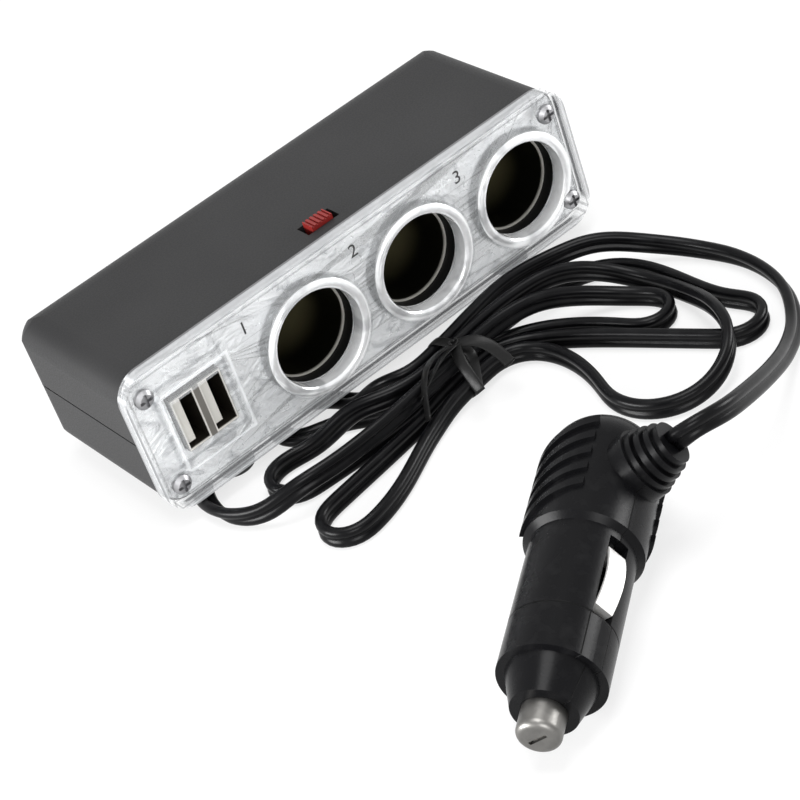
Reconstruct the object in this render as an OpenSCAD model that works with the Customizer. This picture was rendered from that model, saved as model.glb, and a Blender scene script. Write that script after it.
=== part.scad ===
// Car power socket splitter: a case with three sockets and a twin port,
// on a flat twin cord with a fused plug.
// Millimetres, +Z up, +Y to the back. The case stands on z = 0, centred on the origin.

/* [Case] */
// Width of the two shells
case_w = 120; // [118:1:140]
// Height of the two shells together
case_h = 34; // [34:0.5:42]
// Depth from the face of the clear cover to the back wall
case_d = 48; // [47:0.5:60]
// Thickness of the shell walls
wall = 2; // [1.6:0.1:2.4]
// Corner radius of the shells, seen from the front
corner_r = 6; // [4:0.5:8]
// Corner radius at the back, seen from above
plan_r = 6; // [4:0.5:8]
// Radius along the top and bottom edges of the back
back_r = 9; // [6:0.5:11]
// Height of the parting line above the underside of the shells
parting_h = 17.4; // [16:0.2:19]
// How far the clear cover overhangs the shells all round
cover_overhang = 0.5; // [0.3:0.1:0.8]
// Thickness of the clear cover
cover_t = 3.2; // [2.6:0.1:4]
// Corner radius of the clear cover
cover_r = 6.5; // [5:0.5:9]
// How far the polished collars stand proud of the cover
collar_proud = 0.6; // [0.3:0.1:0.9]
// Width of a polished collar
collar_w = 2.2; // [1.6:0.2:2.6]
// Thickness of the silver backing plate
backing_t = 0.4; // [0.3:0.1:0.5]
// Margin of the backing plate inside the edge of the cover
backing_margin = 1; // [0.8:0.1:1.4]

/* [Feet] */
// Height of the case above the surface
foot_h = 4.5; // [4.2:0.1:6]
// Radius of a foot
foot_r = 4.5; // [3.5:0.5:5]
// Distance between the left and right feet
foot_pitch_x = 80; // [76:1:84]
// Distance between the front and back feet
foot_pitch_y = 30; // [28:0.5:31]
// Depth of the seat of a foot in the shell
foot_seat = 0.8; // [0.5:0.1:1.2]

/* [Sockets] */
// Inner radius of a socket's metal liner
liner_r = 10.5; // [10.2:0.1:10.6]
// Thickness of the liner
liner_t = 0.45; // [0.3:0.05:0.5]
// Wall of a socket housing
housing_wall = 1.3; // [1.1:0.1:1.5]
// Distance between socket centres
socket_pitch = 29.5; // [29.4:0.1:30.4]
// Place of the middle socket, right of the centre
socket_x = 15; // [14:0.5:16]
// Height of the socket centres above the underside of the shells
socket_h = 15.7; // [15.4:0.1:16.5]
// Depth of a housing behind the backing plate
housing_depth = 36; // [34:0.5:37]
// Width of a housing's front flange
flange_w = 1.3; // [1:0.1:1.4]
// Depth from the front of the housing to the liner
liner_setback = 3; // [2:0.5:4]
// Radius of the head of a centre contact
contact_head_r = 3.2; // [2.6:0.1:3.8]

/* [Twin port] */
// Width of the mouth of one port
port_w = 5.1; // [5:0.1:5.4]
// Height of the mouth of one port
port_h = 12.5; // [12:0.1:13]
// Distance between the centres of the two ports
port_pitch = 7.2; // [7:0.1:7.6]
// Depth of the ports
port_depth = 15; // [13:0.5:17]
// Place of the twin port, left of the centre
port_x = 44.4; // [43.6:0.2:44.8]
// Height of the twin port above the underside of the shells
port_centre_h = 17.2; // [16.6:0.2:18]
// Thickness of the circuit board
board_t = 1.2; // [1:0.1:1.6]
// Length of the circuit board
board_l = 26; // [24:0.5:26.4]
// Height of the circuit board
board_h = 24; // [21:0.5:24.5]

/* [Switch] */
// Width of the knob of the slide switch
knob_w = 5.5; // [5:0.1:6]
// Depth of the knob, front to back
knob_d = 3.6; // [3:0.1:4]
// Height of the knob above the shell
knob_proud = 1; // [0.6:0.1:1.5]
// Travel of the knob to each side
knob_travel = 1.3; // [1:0.1:1.4]
// Place of the switch, left of the centre
switch_x = 1; // [0:0.5:2]
// Distance from the front of the shells to the centre of the switch
switch_setback = 5.4; // [5.2:0.1:6]

/* [Screws] */
// Distance between the left and right cover screws
cover_screw_pitch_x = 111.5; // [111:0.1:112]
// Distance between the upper and lower cover screws
cover_screw_pitch_z = 22.9; // [22:0.1:23.4]
// Radius of a screw's shank
screw_r = 1.25; // [1:0.05:1.4]
// Radius of a screw's head
head_r = 2.2; // [2.2:0.1:2.8]
// Length of a cover screw
cover_screw_l = 12; // [10:0.5:14]
// Distance between the two case screws
case_screw_pitch = 106; // [104:1:107]

/* [Cord] */
// Width of the flat twin cord
cord_w = 4.8; // [4.6:0.1:5]
// Thickness of the flat twin cord
cord_t = 2.4; // [2.2:0.1:2.5]
// Place of the cord's exit, left of the centre
exit_x = 6; // [5:0.5:7]
// Height of the cord's exit above the underside of the shells
exit_h = 12; // [11.6:0.1:12.1]

/* [Plug] */
// Radius of the plug's grip
grip_r = 11.5; // [11.3:0.1:11.8]
// Radius of the plug's barrel
barrel_r = 10.2; // [10:0.1:10.4]
// Length of the grip, with its domed end
grip_l = 31.5; // [30.5:0.5:32]
// Distance from the domed end to the collar's seam
seam_s = 52.5; // [51.5:0.5:53]
// Length of the collar
collar_l = 10; // [9:0.5:11]
// Length of the nose
nose_l = 7; // [6.5:0.5:8]
// Length of the tip in front of the nose
tip_l = 6; // [5:0.5:7]
// Radius of the tip
tip_r = 4.2; // [4:0.1:4.4]
// Radius of the nose at its wide end
nose_r = 8.6; // [8.4:0.1:9]
// Radius of the nose at the tip
nose_front_r = 6.3; // [6:0.1:6.8]
// Travel of the tip
tip_travel = 2.5; // [1.5:0.5:2.5]
// Width of a side contact
leaf_w = 4.2; // [3.6:0.1:4.4]
// Length of a side contact
leaf_l = 13.6; // [12:0.2:14]
// How far a side contact bulges out of the barrel
leaf_proud = 1.1; // [0.8:0.1:1.3]
// Length of the fuse
fuse_l = 25; // [24:0.5:25.5]
// Radius of the fuse's caps
fuse_r = 3; // [2.6:0.1:3.1]
// Height of a grip rib
rib_proud = 0.8; // [0.5:0.1:1]
// Width of a grip rib
rib_w = 1.6; // [1.2:0.1:1.8]

/* [Hidden] */
$fn = 64;
// Overrun of every cut
over = 1;
// Clearance of a seat or a sliding fit
fit = 0.1;
// Clearance between a shank, pin or rivet and its hole
pin_fit = 0.05;

// Levels and planes of the case
overall_d = case_d + collar_proud;
front_y = collar_proud - overall_d / 2;
back_y = overall_d / 2;
cover_back_y = front_y + cover_t;
shell_front_y = cover_back_y + backing_t;
inner_front_y = shell_front_y + wall;
inner_back_y = back_y - wall;
mid_z = foot_h + case_h / 2;
top_z = foot_h + case_h;
part_z = foot_h + parting_h;
cover_w = case_w + 2 * cover_overhang;
cover_h = case_h + 2 * cover_overhang;
// Groove along the parting line
groove_h = 0.4;
groove_depth = 0.3;
// Locating lip of the lower shell
lip_t = 0.9;
lip_h = 1.2;
lip_gap = 0.15;
lip_front = 5;

// Cover screws and their bosses
cover_screw_zs = [mid_z - cover_screw_pitch_z / 2, mid_z + cover_screw_pitch_z / 2];
boss_r = 3;
boss_beyond = 1.5;
head_h = 1.6;
head_recess = 1.2;
head_recess_gap = 1.1;
head_recess_r = head_r + head_recess_gap;
cross_w = 0.7;
cross_l = 3;
cross_depth = 0.9;
cover_boss_l = cover_screw_l - (cover_t - head_recess) - backing_t + boss_beyond;

// Case screws, their columns and bosses
column_wall = 1.4;
column_r = head_r + pin_fit + column_wall;
case_screw_below = 6;
case_screw_l = 14;
case_screw_seat_z = part_z - case_screw_below;
case_boss_r = 3.4;

// Sockets
socket_xs = [socket_x - socket_pitch, socket_x, socket_x + socket_pitch];
socket_z = foot_h + socket_h;
housing_bore = liner_r + liner_t + pin_fit;
housing_r = housing_bore + housing_wall;
flange_r = housing_r + flange_w;
flange_t = 1;
housing_floor = 2;
housing_end_y = shell_front_y + housing_depth;
housing_floor_y = housing_end_y - housing_floor;
liner_front_y = shell_front_y + liner_setback;
liner_hole_share = 0.43;
// Place of the balls in the back corners, as multiples of the radii there
corner_reach = 0.89;
corner_side = 1.17;
rivet_r = 1.5;
rivet_head_t = 1.6;
rivet_tail_r = 2.4;
rivet_tail_t = 0.8;
// The liner's wall ends in front of the contact, at a bevel round its floor
contact_gap = 0.4;
liner_corner = rivet_head_t - liner_t + contact_gap;
liner_back_y = housing_floor_y - rivet_head_t - contact_gap;
tab_w = 3;
tab_above = 7.5;
strip_t = 0.6;
strip_h = 6;
ground_strip_h = 4;
strip_beyond = 5;
strip_left_x = socket_xs[0] - strip_beyond;
strip_right_x = socket_xs[2] + strip_beyond;
strip_back_y = housing_end_y + strip_t;
ground_z = socket_z + tab_above;
// The case screws stand behind the sockets
case_screw_y = housing_end_y + column_r;

// Twin port
port_z = foot_h + port_centre_h;
port_wall = 0.35;
port_recess = 1.2;
port_back = 0.5;
port_gap = 0.2;
port_block_w = port_pitch + port_w + 2 * port_wall;
port_block_h = port_h + 2 * port_wall;
port_front_y = front_y + port_recess;
port_open_w = port_block_w + 2 * port_gap;
port_open_h = port_block_h + 2 * port_gap;
port_frame_side = 2;
port_frame_above = 3;
port_frame_w = port_open_w + 2 * port_frame_side;
port_frame_h = port_open_h + 2 * port_frame_above;
port_frame_r = 3;
tongue_t = 1.9;
tongue_w = 11.1;
tongue_recess = 1.4;
tongue_side = 0.5;
pin_w = 1;
pin_t = 0.25;
pin_l = 9;
pin_places = [-3.5, -1, 1, 3.5];

// Circuit board and what it carries
board_x = -port_x - port_block_w / 2 - board_t;
board_face_x = board_x + board_t;
board_front_gap = 0.3;
board_y = inner_front_y + board_front_gap;
board_z = mid_z - board_h / 2;
rail_side = 1.4;
rail_l = 16;
rail_start = 6;
rail_grip = 1.5;
coil_r = 3.6;
coil_l = 5;
coil_core_r = 1.2;
coil_behind = 17.2;
coil_y = board_y + coil_behind;
capacitor_r = 2.5;
capacitor_l = 8;
capacitor_behind = 22.5;
capacitor_y = board_y + capacitor_behind;
capacitor_above = 6;
chip_l = 5;
chip_w = 4;
chip_t = 1.5;
chip_below = 8;
chip_behind = 15.5;
chip_y = board_y + chip_behind;

// Slide switch
switch_y = shell_front_y + switch_setback;
knob_gap = 0.15;
slot_w = knob_w + 2 * (knob_travel + knob_gap);
slot_gap = 0.4;
slot_d = knob_d + 2 * slot_gap;
switch_wall = 0.9;
switch_h = 4.6;
carriage_h = 2.8;
carriage_gap = 0.2;
switch_end = 1.9;
switch_body_w = slot_w + 2 * switch_end;
switch_body_d = knob_d + carriage_gap + 2 * switch_wall;
switch_top_z = top_z - wall;
grip_groove_w = 0.5;
grip_groove_d = 0.35;
grip_groove_pitch = 1.1;
terminal_w = 0.9;
terminal_t = 0.5;
terminal_l = 3;
terminal_pitch = 2.5;
terminal_z = switch_top_z - switch_h - terminal_l;
switch_drop = 1.5;

// Wires inside the case
wire_r = 0.8;
thin_wire_r = 0.6;
wire_pitch = 2.4;
behind_gap = 2.4;
wire_sides = 8;
wire_first = [1, 2, 5];
corner_steps = 4;
corner_share = 0.45;
wire_run_y = strip_back_y + behind_gap;

// Boot where the cord leaves the case
exit_z = foot_h + exit_h;
boot_r = 3.4;
boot_flange_r = 3.9;
boot_flange_t = 1.2;
boot_l = 9.7;
boot_ring_w = 1.3;
boot_ring_pitch = 2;
boot_ring_rise = 0.5;
exit_y = back_y + boot_l;

// Plug: distances along its axis start at the domed end
plug_pos = [2, -96.4, 0];
plug_heading = 216;
plug_roll = 30;
step_l = 1;
collar_end = seam_s + collar_l;
nose_end = collar_end + nose_l;
tip_end = nose_end + tip_l;
grip_wall = 2.7;
cavity_start = 6.5;
cavity_end = 28.5;
floor_end = 30.5;
collar_gap = 0.05;
spigot_wall = 2.3;
spigot_r = barrel_r - spigot_wall;
spigot_short = 3;
spigot_l = collar_l - spigot_short;
skirt_l = 2.5;
fuse_gap = 0.2;
chamber_r = fuse_r + fuse_gap;
// Ribs of the grip
rib_count = 5;
rib_pitch = 4;
rib_first = 11.4;
rib_slant = 20;
rib_spread = 39;
rib_r = grip_r + rib_proud;
rib_rest = rib_first + (rib_count - 1) * rib_pitch + rib_r * sin(plug_roll) * tan(rib_slant)
    + rib_w / 2 / cos(rib_slant);
// The plug lies on its ribs and on the front edge of its collar
plug_dip = atan((rib_r - barrel_r) / (collar_end - rib_rest));
plug_rise = rib_r * cos(plug_dip) + rib_rest * sin(plug_dip);
// Boot of the plug, on an axis of its own
boot_s = 17.5;
boot_tilt = 78;
boss_out = 12.6;
boot_seat_r = 7;
boot_hole_r = 3.4;
boot_inner = 6.2;
boot_inner_t = 1.2;
boot_inner_r = 4.2;
// Radius and height of each ring of the boot, and of the waists between them
boot_steps = [[6.4, 1.5], [5.2, 0.6], [5.8, 1.3], [4.7, 0.6], [5.2, 1.2], [4.2, 0.5], [4.4, 1.1]];
boot_end = boss_out + total([for (s = boot_steps) s[1]]);
// Tip, spring, fuse and terminal
terminal_disc_t = 0.8;
terminal_stem_r = 1;
terminal_stem_l = 4;
spring_start = floor_end + terminal_disc_t;
nose_front_wall = 1.9;
tip_flange_t = 2.6;
fuse_front = nose_end - nose_front_wall - tip_flange_t;
tip_flange_r = 4.6;
tip_flange_gap = 0.1;
tip_round = 1.4;
fuse_back = fuse_front - fuse_l;
fuse_cap_l = 5.5;
fuse_cap_t = 0.5;
fuse_cap_wall = 0.25;
fuse_glass_wall = 0.5;
spring_wire = 0.8;
// Side contacts and their slots
slot_behind = 1.5;
slot_side = 0.2;
slot_start = grip_l + step_l + slot_behind;
slot_half = leaf_w / 2 + slot_side;
pocket_r = 5.4;
leaf_t = 0.5;
leaf_behind = 2.7;
leaf_start = slot_start + leaf_behind;
leaf_mid = leaf_start + leaf_l / 2;
leaf_bend_r = 18;
leaf_foot_gap = 0.2;
leaf_front_leg = 2;
leaf_edge_r = barrel_r + leaf_proud - leaf_bend_r + sqrt(leaf_bend_r * leaf_bend_r - leaf_l * leaf_l / 4);
plug_wire_r = 0.8;
wire_hole_r = 1;
wire_hole_at = 7.4;

// Flat cord. A place is x, y, the lift of its underside and its lean:
// 0 stands on edge, 90 lies flat
waist_centre = [4, -41];
waist_angle = 10;
waist_half = 5;
waist_lift = 0.9;
waist_pitch = 3;
waist_layer = 5.4;
along = [cos(waist_angle), sin(waist_angle)];
across = [-sin(waist_angle), cos(waist_angle)];
// Slots of the waist: the place across it and the layer
slots = [["A", 1.5, 0], ["B", -0.5, 0], ["C", -0.5, 1], ["D", 0.5, 0], ["E", 0.5, 1], ["F", -1.5, 0], ["G", 1.5, 1]];
// Each fold: slot it leaves, slot it comes back to, side, centre and radius of its end,
// heading there, turn, lean of its run, handles of its four curves as shares,
// shares of the path between which it comes down and goes up, and a hump's place, height and width
fold_rings = 24;
// Share of a fold over which it leans
lean_share = 0.3;
folds = [
    ["C", "D", 1, [41.5, -60.5], 5.5, -69, -1, 0, [0.4, 0.32, 0.39, 0.37], [0.14, 0.4, 0.9, 1], [0.5, 0, 1]],
    ["D", "E", -1, [-36, -34], 6, 176, -1, 0, [0.35, 0.4, 0.4, 0.4], [0, 0.1, 0.66, 0.82], [0.5, 0, 1]],
    ["E", "F", 1, [31, -77.7], 14, -113.2, -1, 0, [0.65, 0.68, 0.55, 0.46], [0.15, 0.31, 0.9, 1], [0.49, 5.6, 0.1]],
    ["F", "B", -1, [-38, -55], 6, 188, -1, 0, [0.4, 0.4, 0.4, 0.4], [0, 0.1, 0.9, 1], [0.5, 0, 1]],
    ["B", "A", 1, [49.3, -79], 6.5, -61.1, 1, 0, [0.25, 0.66, 0.26, 1], [0, 0.1, 0.9, 1], [0.5, 0, 1]],
    ["A", "G", -1, [-23, -18.5], 6, 165, -1, 90, [0.4, 0.4, 0.4, 0.4], [0, 0.1, 0.74, 0.92], [0.5, 0, 1]]
];
// The lead runs from the case's boot under the case to the waist
lead_route = [
    [-8, 48, 12, 90], [-15, 53, 4, 90], [-23, 49, 0.4, 90], [-28, 38, 0, 90], [-30, 26, 0, 90], [-32, 14, 0, 90],
    [-37, 2, 0, 90], [-44, -8, 0, 90], [-50, -17, 0, 80], [-52.5, -24.5, 0, 50], [-52, -32, 0.1, 20],
    [-48, -39, 1.5, 0], [-40.5, -44, 5.4, 0], [-31, -45.5, 5.8, 0], [-18, -45.5, 6.2, 0]
];
// The tail runs from the waist round the right side to the plug's boot
tail_route = [
    [17, -33.5, 6.3, 0], [28, -31.5, 6, 0], [39, -33, 5.6, 0], [49, -38, 5.6, 0], [58, -46, 2, 0], [64, -57, 0, 10],
    [65.5, -69, 0, 20], [62.5, -81, 0, 20], [55, -91, 0.1, 20], [45, -99.5, 3.4, 10], [33.5, -108, 9.6, 0],
    [21, -116, 16.6, 0], [11, -121, 21.6, 0]
];
cord_straight = 5;
// Band and ends of the cord's tie
tie_w = 2.6;
tie_t = 0.6;
tie_gap = 0.2;
tie_end_l = 13;
tie_end_angles = [-62, -98];
knot_t = 1.8;
knot_r = 2.6;

function total(values) = [for (v = values) 1] * values;
function ramp(x) = let (c = min(max(x, 0), 1)) c * c * (3 - 2 * c);
function heading(a) = [cos(a), sin(a)];
function left_of(d) = [-d[1], d[0]];

// Place of a slot on one side of the waist, as x, y and lift
function slot_point(key, side) = let (
    slot = slots[search([key], slots)[0]],
    p = waist_centre + side * waist_half * along + slot[1] * waist_pitch * across
) [p[0], p[1], waist_lift + slot[2] * waist_layer];

// Point on a curve from p0 along d0 to p1 along d1
function curve(p0, d0, p1, d1, a, b, t) = let (
    l = norm(p1 - p0),
    q0 = p0 + d0 * l * a,
    q1 = p1 - d1 * l * b,
    s = 1 - t
) s * s * s * p0 + 3 * s * s * t * q0 + 3 * s * t * t * q1 + t * t * t * p1;

// Length run at each point of a path
function lengths(p) = [for (s = 0, i = 0; i < len(p); s = s + norm(p[min(i + 1, len(p) - 1)] - p[i]), i = i + 1) s];

function half_height(lean) = norm([cord_w / 2 * cos(lean), cord_t / 2 * sin(lean)]);
function half_width(lean) = norm([cord_t / 2 * cos(lean), cord_w / 2 * sin(lean)]);
function raised(q) = [q[0], q[1], max(q[2], 0) + half_height(q[3]), q[3]];

// Rings of one fold, each as x, y, z and lean
function fold_points(f, count) = let (
    out = f[2] * along,
    w0 = slot_point(f[0], f[2]),
    w1 = slot_point(f[1], f[2]),
    d = heading(f[5]),
    side = -f[6] * left_of(d),
    third = floor(count / 3),
    a = f[3] + f[4] * side,
    b = f[3] - f[4] * side,
    flat = concat(
        [for (i = [0 : third]) curve([w0[0], w0[1]], out, a, d, f[8][0], f[8][1], i / third)],
        [for (i = [1 : third - 1]) f[3] + f[4] * (cos(180 * i / third) * side + sin(180 * i / third) * d)],
        [for (i = [0 : third]) curve(b, -d, [w1[0], w1[1]], -out, f[8][2], f[8][3], i / third)]
    ),
    run = lengths(flat),
    whole = run[len(run) - 1]
) [for (i = [0 : len(flat) - 1]) let (
    q = run[i] / whole,
    lift = w0[2] * (1 - ramp((q - f[9][0]) / (f[9][1] - f[9][0])))
        + w1[2] * ramp((q - f[9][2]) / (f[9][3] - f[9][2]))
        + f[10][1] * exp(-pow((q - f[10][0]) / f[10][2], 2)),
    lean = f[7] * ramp(q / lean_share) * ramp((1 - q) / lean_share)
) raised([flat[i][0], flat[i][1], lift, lean])];

function hank_points(count) = [for (f = folds) each fold_points(f, count)];

// Points of a free stretch, with steps between those of its route
function stretch_points(route, steps) = let (last = len(route) - 1) [
    for (i = [0 : last]) for (k = [0 : (i == last ? 0 : steps - 1)]) let (
        t = k / steps,
        p0 = route[max(i - 1, 0)],
        p1 = route[i],
        p2 = route[min(i + 1, last)],
        p3 = route[min(i + 2, last)]
    ) raised((2 * p1 + (p2 - p0) * t + (2 * p0 - 5 * p1 + 4 * p2 - p3) * t * t
        + (3 * p1 - 3 * p2 + p3 - p0) * t * t * t) / 2)
];

// Turns about the axes, for places on the plug
function about_z(p, a) = [p[0] * cos(a) - p[1] * sin(a), p[0] * sin(a) + p[1] * cos(a), p[2]];
function about_y(p, a) = [p[0] * cos(a) + p[2] * sin(a), p[1], p[2] * cos(a) - p[0] * sin(a)];
function on_plug(p) = about_z(about_y(about_z(p, 90 + plug_roll), 90 + plug_dip), plug_heading);
function plug_place(p) = on_plug(p) + plug_pos + [0, 0, plug_rise];

boot_axis = on_plug([sin(boot_tilt), 0, -cos(boot_tilt)]);
boot_mouth = plug_place([boot_end * sin(boot_tilt), 0, boot_s - boot_end * cos(boot_tilt)]);
plug_straight = boot_mouth + cord_straight * boot_axis;
waist_in = slot_point("C", -1);
waist_out = slot_point("G", 1);
lead_start = [
    [-exit_x, exit_y, exit_z - half_height(90), 90],
    [-exit_x, exit_y + cord_straight, exit_z - half_height(90), 90]
];
lead_points = stretch_points(concat(lead_start, lead_route, [[waist_in[0], waist_in[1], waist_in[2], 0]]), 2);
tail_end = [
    [plug_straight[0], plug_straight[1], plug_straight[2] - half_height(0), 0],
    [boot_mouth[0], boot_mouth[1], boot_mouth[2] - half_height(0), 0]
];
tail_points = stretch_points(concat([[waist_out[0], waist_out[1], waist_out[2], 0]], tail_route, tail_end), 2);
waist_axis = [along[0], along[1], 0];

function unit(d) = d / norm(d);
function place(p) = [p[0], p[1], p[2]];

// Faces of a tube of rings, with its two ends closed
function tube_faces(count, sides) = concat(
    [[for (k = [0 : sides - 1]) k]],
    [for (i = [0 : count - 2]) for (k = [0 : sides - 1]) let (n = (k + 1) % sides, a = i * sides)
        each [[a + k, a + sides + k, a + n], [a + n, a + sides + k, a + sides + n]]],
    [[for (k = [sides - 1 : -1 : 0]) (count - 1) * sides + k]]
);

// Arc that rounds the corner at p between the ways a and b, at a distance l along each
function corner(p, a, b, l) = let (
    half = acos(a * b) / 2,
    c = p + unit(a + b) * l / cos(half),
    e = unit(p + l * a - c)
) [for (k = [0 : corner_steps]) let (turn = (180 - 2 * half) * k / corner_steps)
    c + l * tan(half) * (cos(turn) * e - sin(turn) * a)];

// Path of a wire with its corners rounded
function wire_path(points, r) = let (last = len(points) - 1) concat(
    [points[0]],
    [for (i = [1 : last - 1]) let (back = points[i - 1] - points[i], on = points[i + 1] - points[i])
        each corner(points[i], unit(back), unit(on), min(2 * r, corner_share * norm(back), corner_share * norm(on)))],
    [points[last]]
);

// How far the cord's section at a point reaches along a slope
function reach(p, slope) = norm([half_width(p[3]) * cos(slope), half_height(p[3]) * sin(slope)]);

// Least gap of the hank to itself, measured between points of its centre line
gap_points = hank_points(36);
gap_run = lengths([for (p = gap_points) [p[0], p[1]]]);
gap_apart = 14;
gap_pairs = [for (i = [0 : len(gap_points) - 1]) for (j = [i + 1 : 1 : len(gap_points) - 1])
    if (gap_run[j] - gap_run[i] > gap_apart) let (
        p = gap_points[i],
        q = gap_points[j],
        d = place(p) - place(q),
        aside = norm([d[0], d[1]]),
        slope = atan2(abs(d[2]), aside)
    ) max(aside - reach(p, 0) - reach(q, 0), abs(d[2]) - reach(p, 90) - reach(q, 90),
        norm(d) - reach(p, slope) - reach(q, slope))];
echo(least_gap_of_hank = min(gap_pairs));
echo(cord_length = total([for (p = [lead_points, hank_points(fold_rings), tail_points])
    total([for (i = [1 : len(p) - 1]) norm([p[i][0] - p[i - 1][0], p[i][1] - p[i - 1][1], p[i][2] - p[i - 1][2]])])]));

// Rectangle with round corners
module round_rect(w, h, r) {
    square([w - 2 * r, h], center = true);
    square([w, h - 2 * r], center = true);
    for (x = [r - w / 2, w / 2 - r], y = [r - h / 2, h / 2 - r]) {
        translate([x, y]) circle(r);
    }
}

// Rectangle from y0 to y1 with round corners at y1
module back_rounded(w, y0, y1, r) {
    translate([r - w / 2, y0]) square([w - 2 * r, y1 - y0]);
    translate([-w / 2, y0]) square([w, y1 - y0 - r]);
    for (x = [r - w / 2, w / 2 - r]) {
        translate([x, y1 - r]) circle(r);
    }
}

// Outline drawn in x and z, extruded to the back from a plane
module slab(y, depth) {
    translate([0, y + depth, 0]) rotate([90, 0, 0]) linear_extrude(depth) children();
}

// Round bar along y
module bar_y(r, y0, y1) {
    translate([0, y1, 0]) rotate([90, 0, 0]) cylinder(r = r, h = y1 - y0);
}

// Box between two corners
module box(a, b) {
    translate(a) cube(b - a);
}

// Block with the case's outline, inset all round
module case_block(inset, start_y) {
    intersection() {
        translate([0, 0, mid_z]) slab(start_y, back_y - inset - start_y)
            round_rect(case_w - 2 * inset, case_h - 2 * inset, corner_r - inset);
        translate([0, 0, foot_h]) linear_extrude(case_h)
            back_rounded(case_w - 2 * inset, start_y, back_y - inset, plan_r - inset);
        translate([case_w / 2, 0, mid_z]) rotate([0, -90, 0]) linear_extrude(case_w)
            back_rounded(case_h - 2 * inset, start_y, back_y - inset, back_r - inset);
    }
}

// What is cut off the four corners at the back, beyond a ball in each
module corner_cuts() {
    deep = corner_reach * back_r;
    side = corner_side * plan_r;
    ball = norm([side - plan_r, deep - plan_r]) + plan_r + fit;
    for (x = [-1, 1], z = [-1, 1]) {
        translate([x * (case_w / 2 - side), back_y - deep, mid_z + z * (case_h / 2 - deep)]) difference() {
            translate([x > 0 ? 0 : -2 * ball, 0, z > 0 ? 0 : -2 * ball]) cube(2 * ball);
            sphere(ball);
        }
    }
}

// Box that covers everything above a level
module above(z) {
    box([-case_w, -case_d, z], [case_w, case_d, top_z + over]);
}

// Box that covers everything below a level
module below(z) {
    box([-case_w, -case_d, foot_h - over], [case_w, case_d, z]);
}

// Hollow case with the bosses, rails and cuts that both shells share
module case_body() {
    difference() {
        union() {
            difference() {
                case_block(0, shell_front_y);
                case_block(wall, inner_front_y);
            }
            intersection() {
                case_block(0, shell_front_y);
                union() {
                    for (x = [-cover_screw_pitch_x / 2, cover_screw_pitch_x / 2], z = cover_screw_zs) {
                        translate([x, 0, z]) bar_y(boss_r, shell_front_y, shell_front_y + cover_boss_l);
                    }
                    for (x = [-case_screw_pitch / 2, case_screw_pitch / 2]) {
                        translate([x, case_screw_y, foot_h]) cylinder(r = column_r, h = parting_h);
                        translate([x, case_screw_y, part_z]) cylinder(r = case_boss_r, h = top_z - part_z);
                    }
                    board_rails();
                }
            }
        }
        for (x = [-cover_screw_pitch_x / 2, cover_screw_pitch_x / 2], z = cover_screw_zs) {
            translate([x, 0, z]) bar_y(screw_r + pin_fit, shell_front_y - over, shell_front_y + cover_boss_l - over);
        }
        for (x = [-case_screw_pitch / 2, case_screw_pitch / 2]) {
            translate([x, case_screw_y, foot_h - over])
                cylinder(r = head_r + pin_fit, h = case_screw_seat_z - foot_h + over);
            translate([x, case_screw_y, case_screw_seat_z - over])
                cylinder(r = screw_r + pin_fit, h = case_screw_l + 2 * over);
        }
        for (x = socket_xs) {
            translate([x, 0, socket_z]) {
                bar_y(housing_r + fit, shell_front_y - over, housing_end_y + over);
                bar_y(flange_r + fit, shell_front_y - over, shell_front_y + flange_t);
            }
        }
        translate([-port_x, 0, port_z]) slab(shell_front_y - over, wall + 2 * over)
            square([port_open_w, port_open_h], center = true);
        for (x = [-foot_pitch_x / 2, foot_pitch_x / 2], y = [-foot_pitch_y / 2, foot_pitch_y / 2]) {
            translate([x, y, foot_h - over]) cylinder(r = foot_r + pin_fit, h = foot_seat + over);
        }
        translate([-switch_x, switch_y, switch_top_z - over])
            linear_extrude(wall + 2 * over) square([slot_w, slot_d], center = true);
        translate([-exit_x, 0, exit_z]) bar_y(boot_r + pin_fit, inner_back_y - over, back_y + over);
        parting_groove();
        corner_cuts();
    }
}

// Groove along the parting line, on the sides and the back
module parting_groove() {
    difference() {
        box([-case_w, shell_front_y - over, part_z - groove_h / 2], [case_w, case_d, part_z + groove_h / 2]);
        case_block(groove_depth, shell_front_y - 2 * over);
    }
}

// Rails above and below that hold the circuit board
module board_rails() {
    difference() {
        for (z = [[foot_h, board_z + rail_grip], [board_z + board_h - rail_grip, top_z]]) {
            box([board_x - rail_side, board_y + rail_start, z[0]],
                [board_face_x + rail_side, board_y + rail_start + rail_l, z[1]]);
        }
        box([board_x - pin_fit, board_y, board_z], [board_face_x + pin_fit, back_y, board_z + board_h]);
    }
}

module shell_top() {
    color("#1d1d1f") intersection() {
        case_body();
        above(part_z);
    }
}

module shell_bottom() {
    color("#1d1d1f") {
        intersection() {
            case_body();
            below(part_z);
        }
        shell_lip();
    }
}

// Lip that locates the upper shell
module shell_lip() {
    difference() {
        intersection() {
            case_block(wall + lip_gap, inner_front_y);
            box([-case_w, inner_front_y + lip_front, part_z - lip_h], [case_w, case_d, part_z + lip_h]);
        }
        case_block(wall + lip_gap + lip_t, inner_front_y - over);
        for (x = [-case_screw_pitch / 2, case_screw_pitch / 2]) {
            translate([x, case_screw_y, part_z]) cylinder(r = case_boss_r + fit, h = lip_h + over);
        }
    }
    // Foot of the lip, fused to the wall below the parting line
    difference() {
        intersection() {
            case_block(wall - groove_depth, inner_front_y);
            box([-case_w, inner_front_y + lip_front, part_z - lip_h], [case_w, case_d, part_z - groove_h]);
        }
        case_block(wall + lip_gap + lip_t, inner_front_y - over);
    }
}

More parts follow.
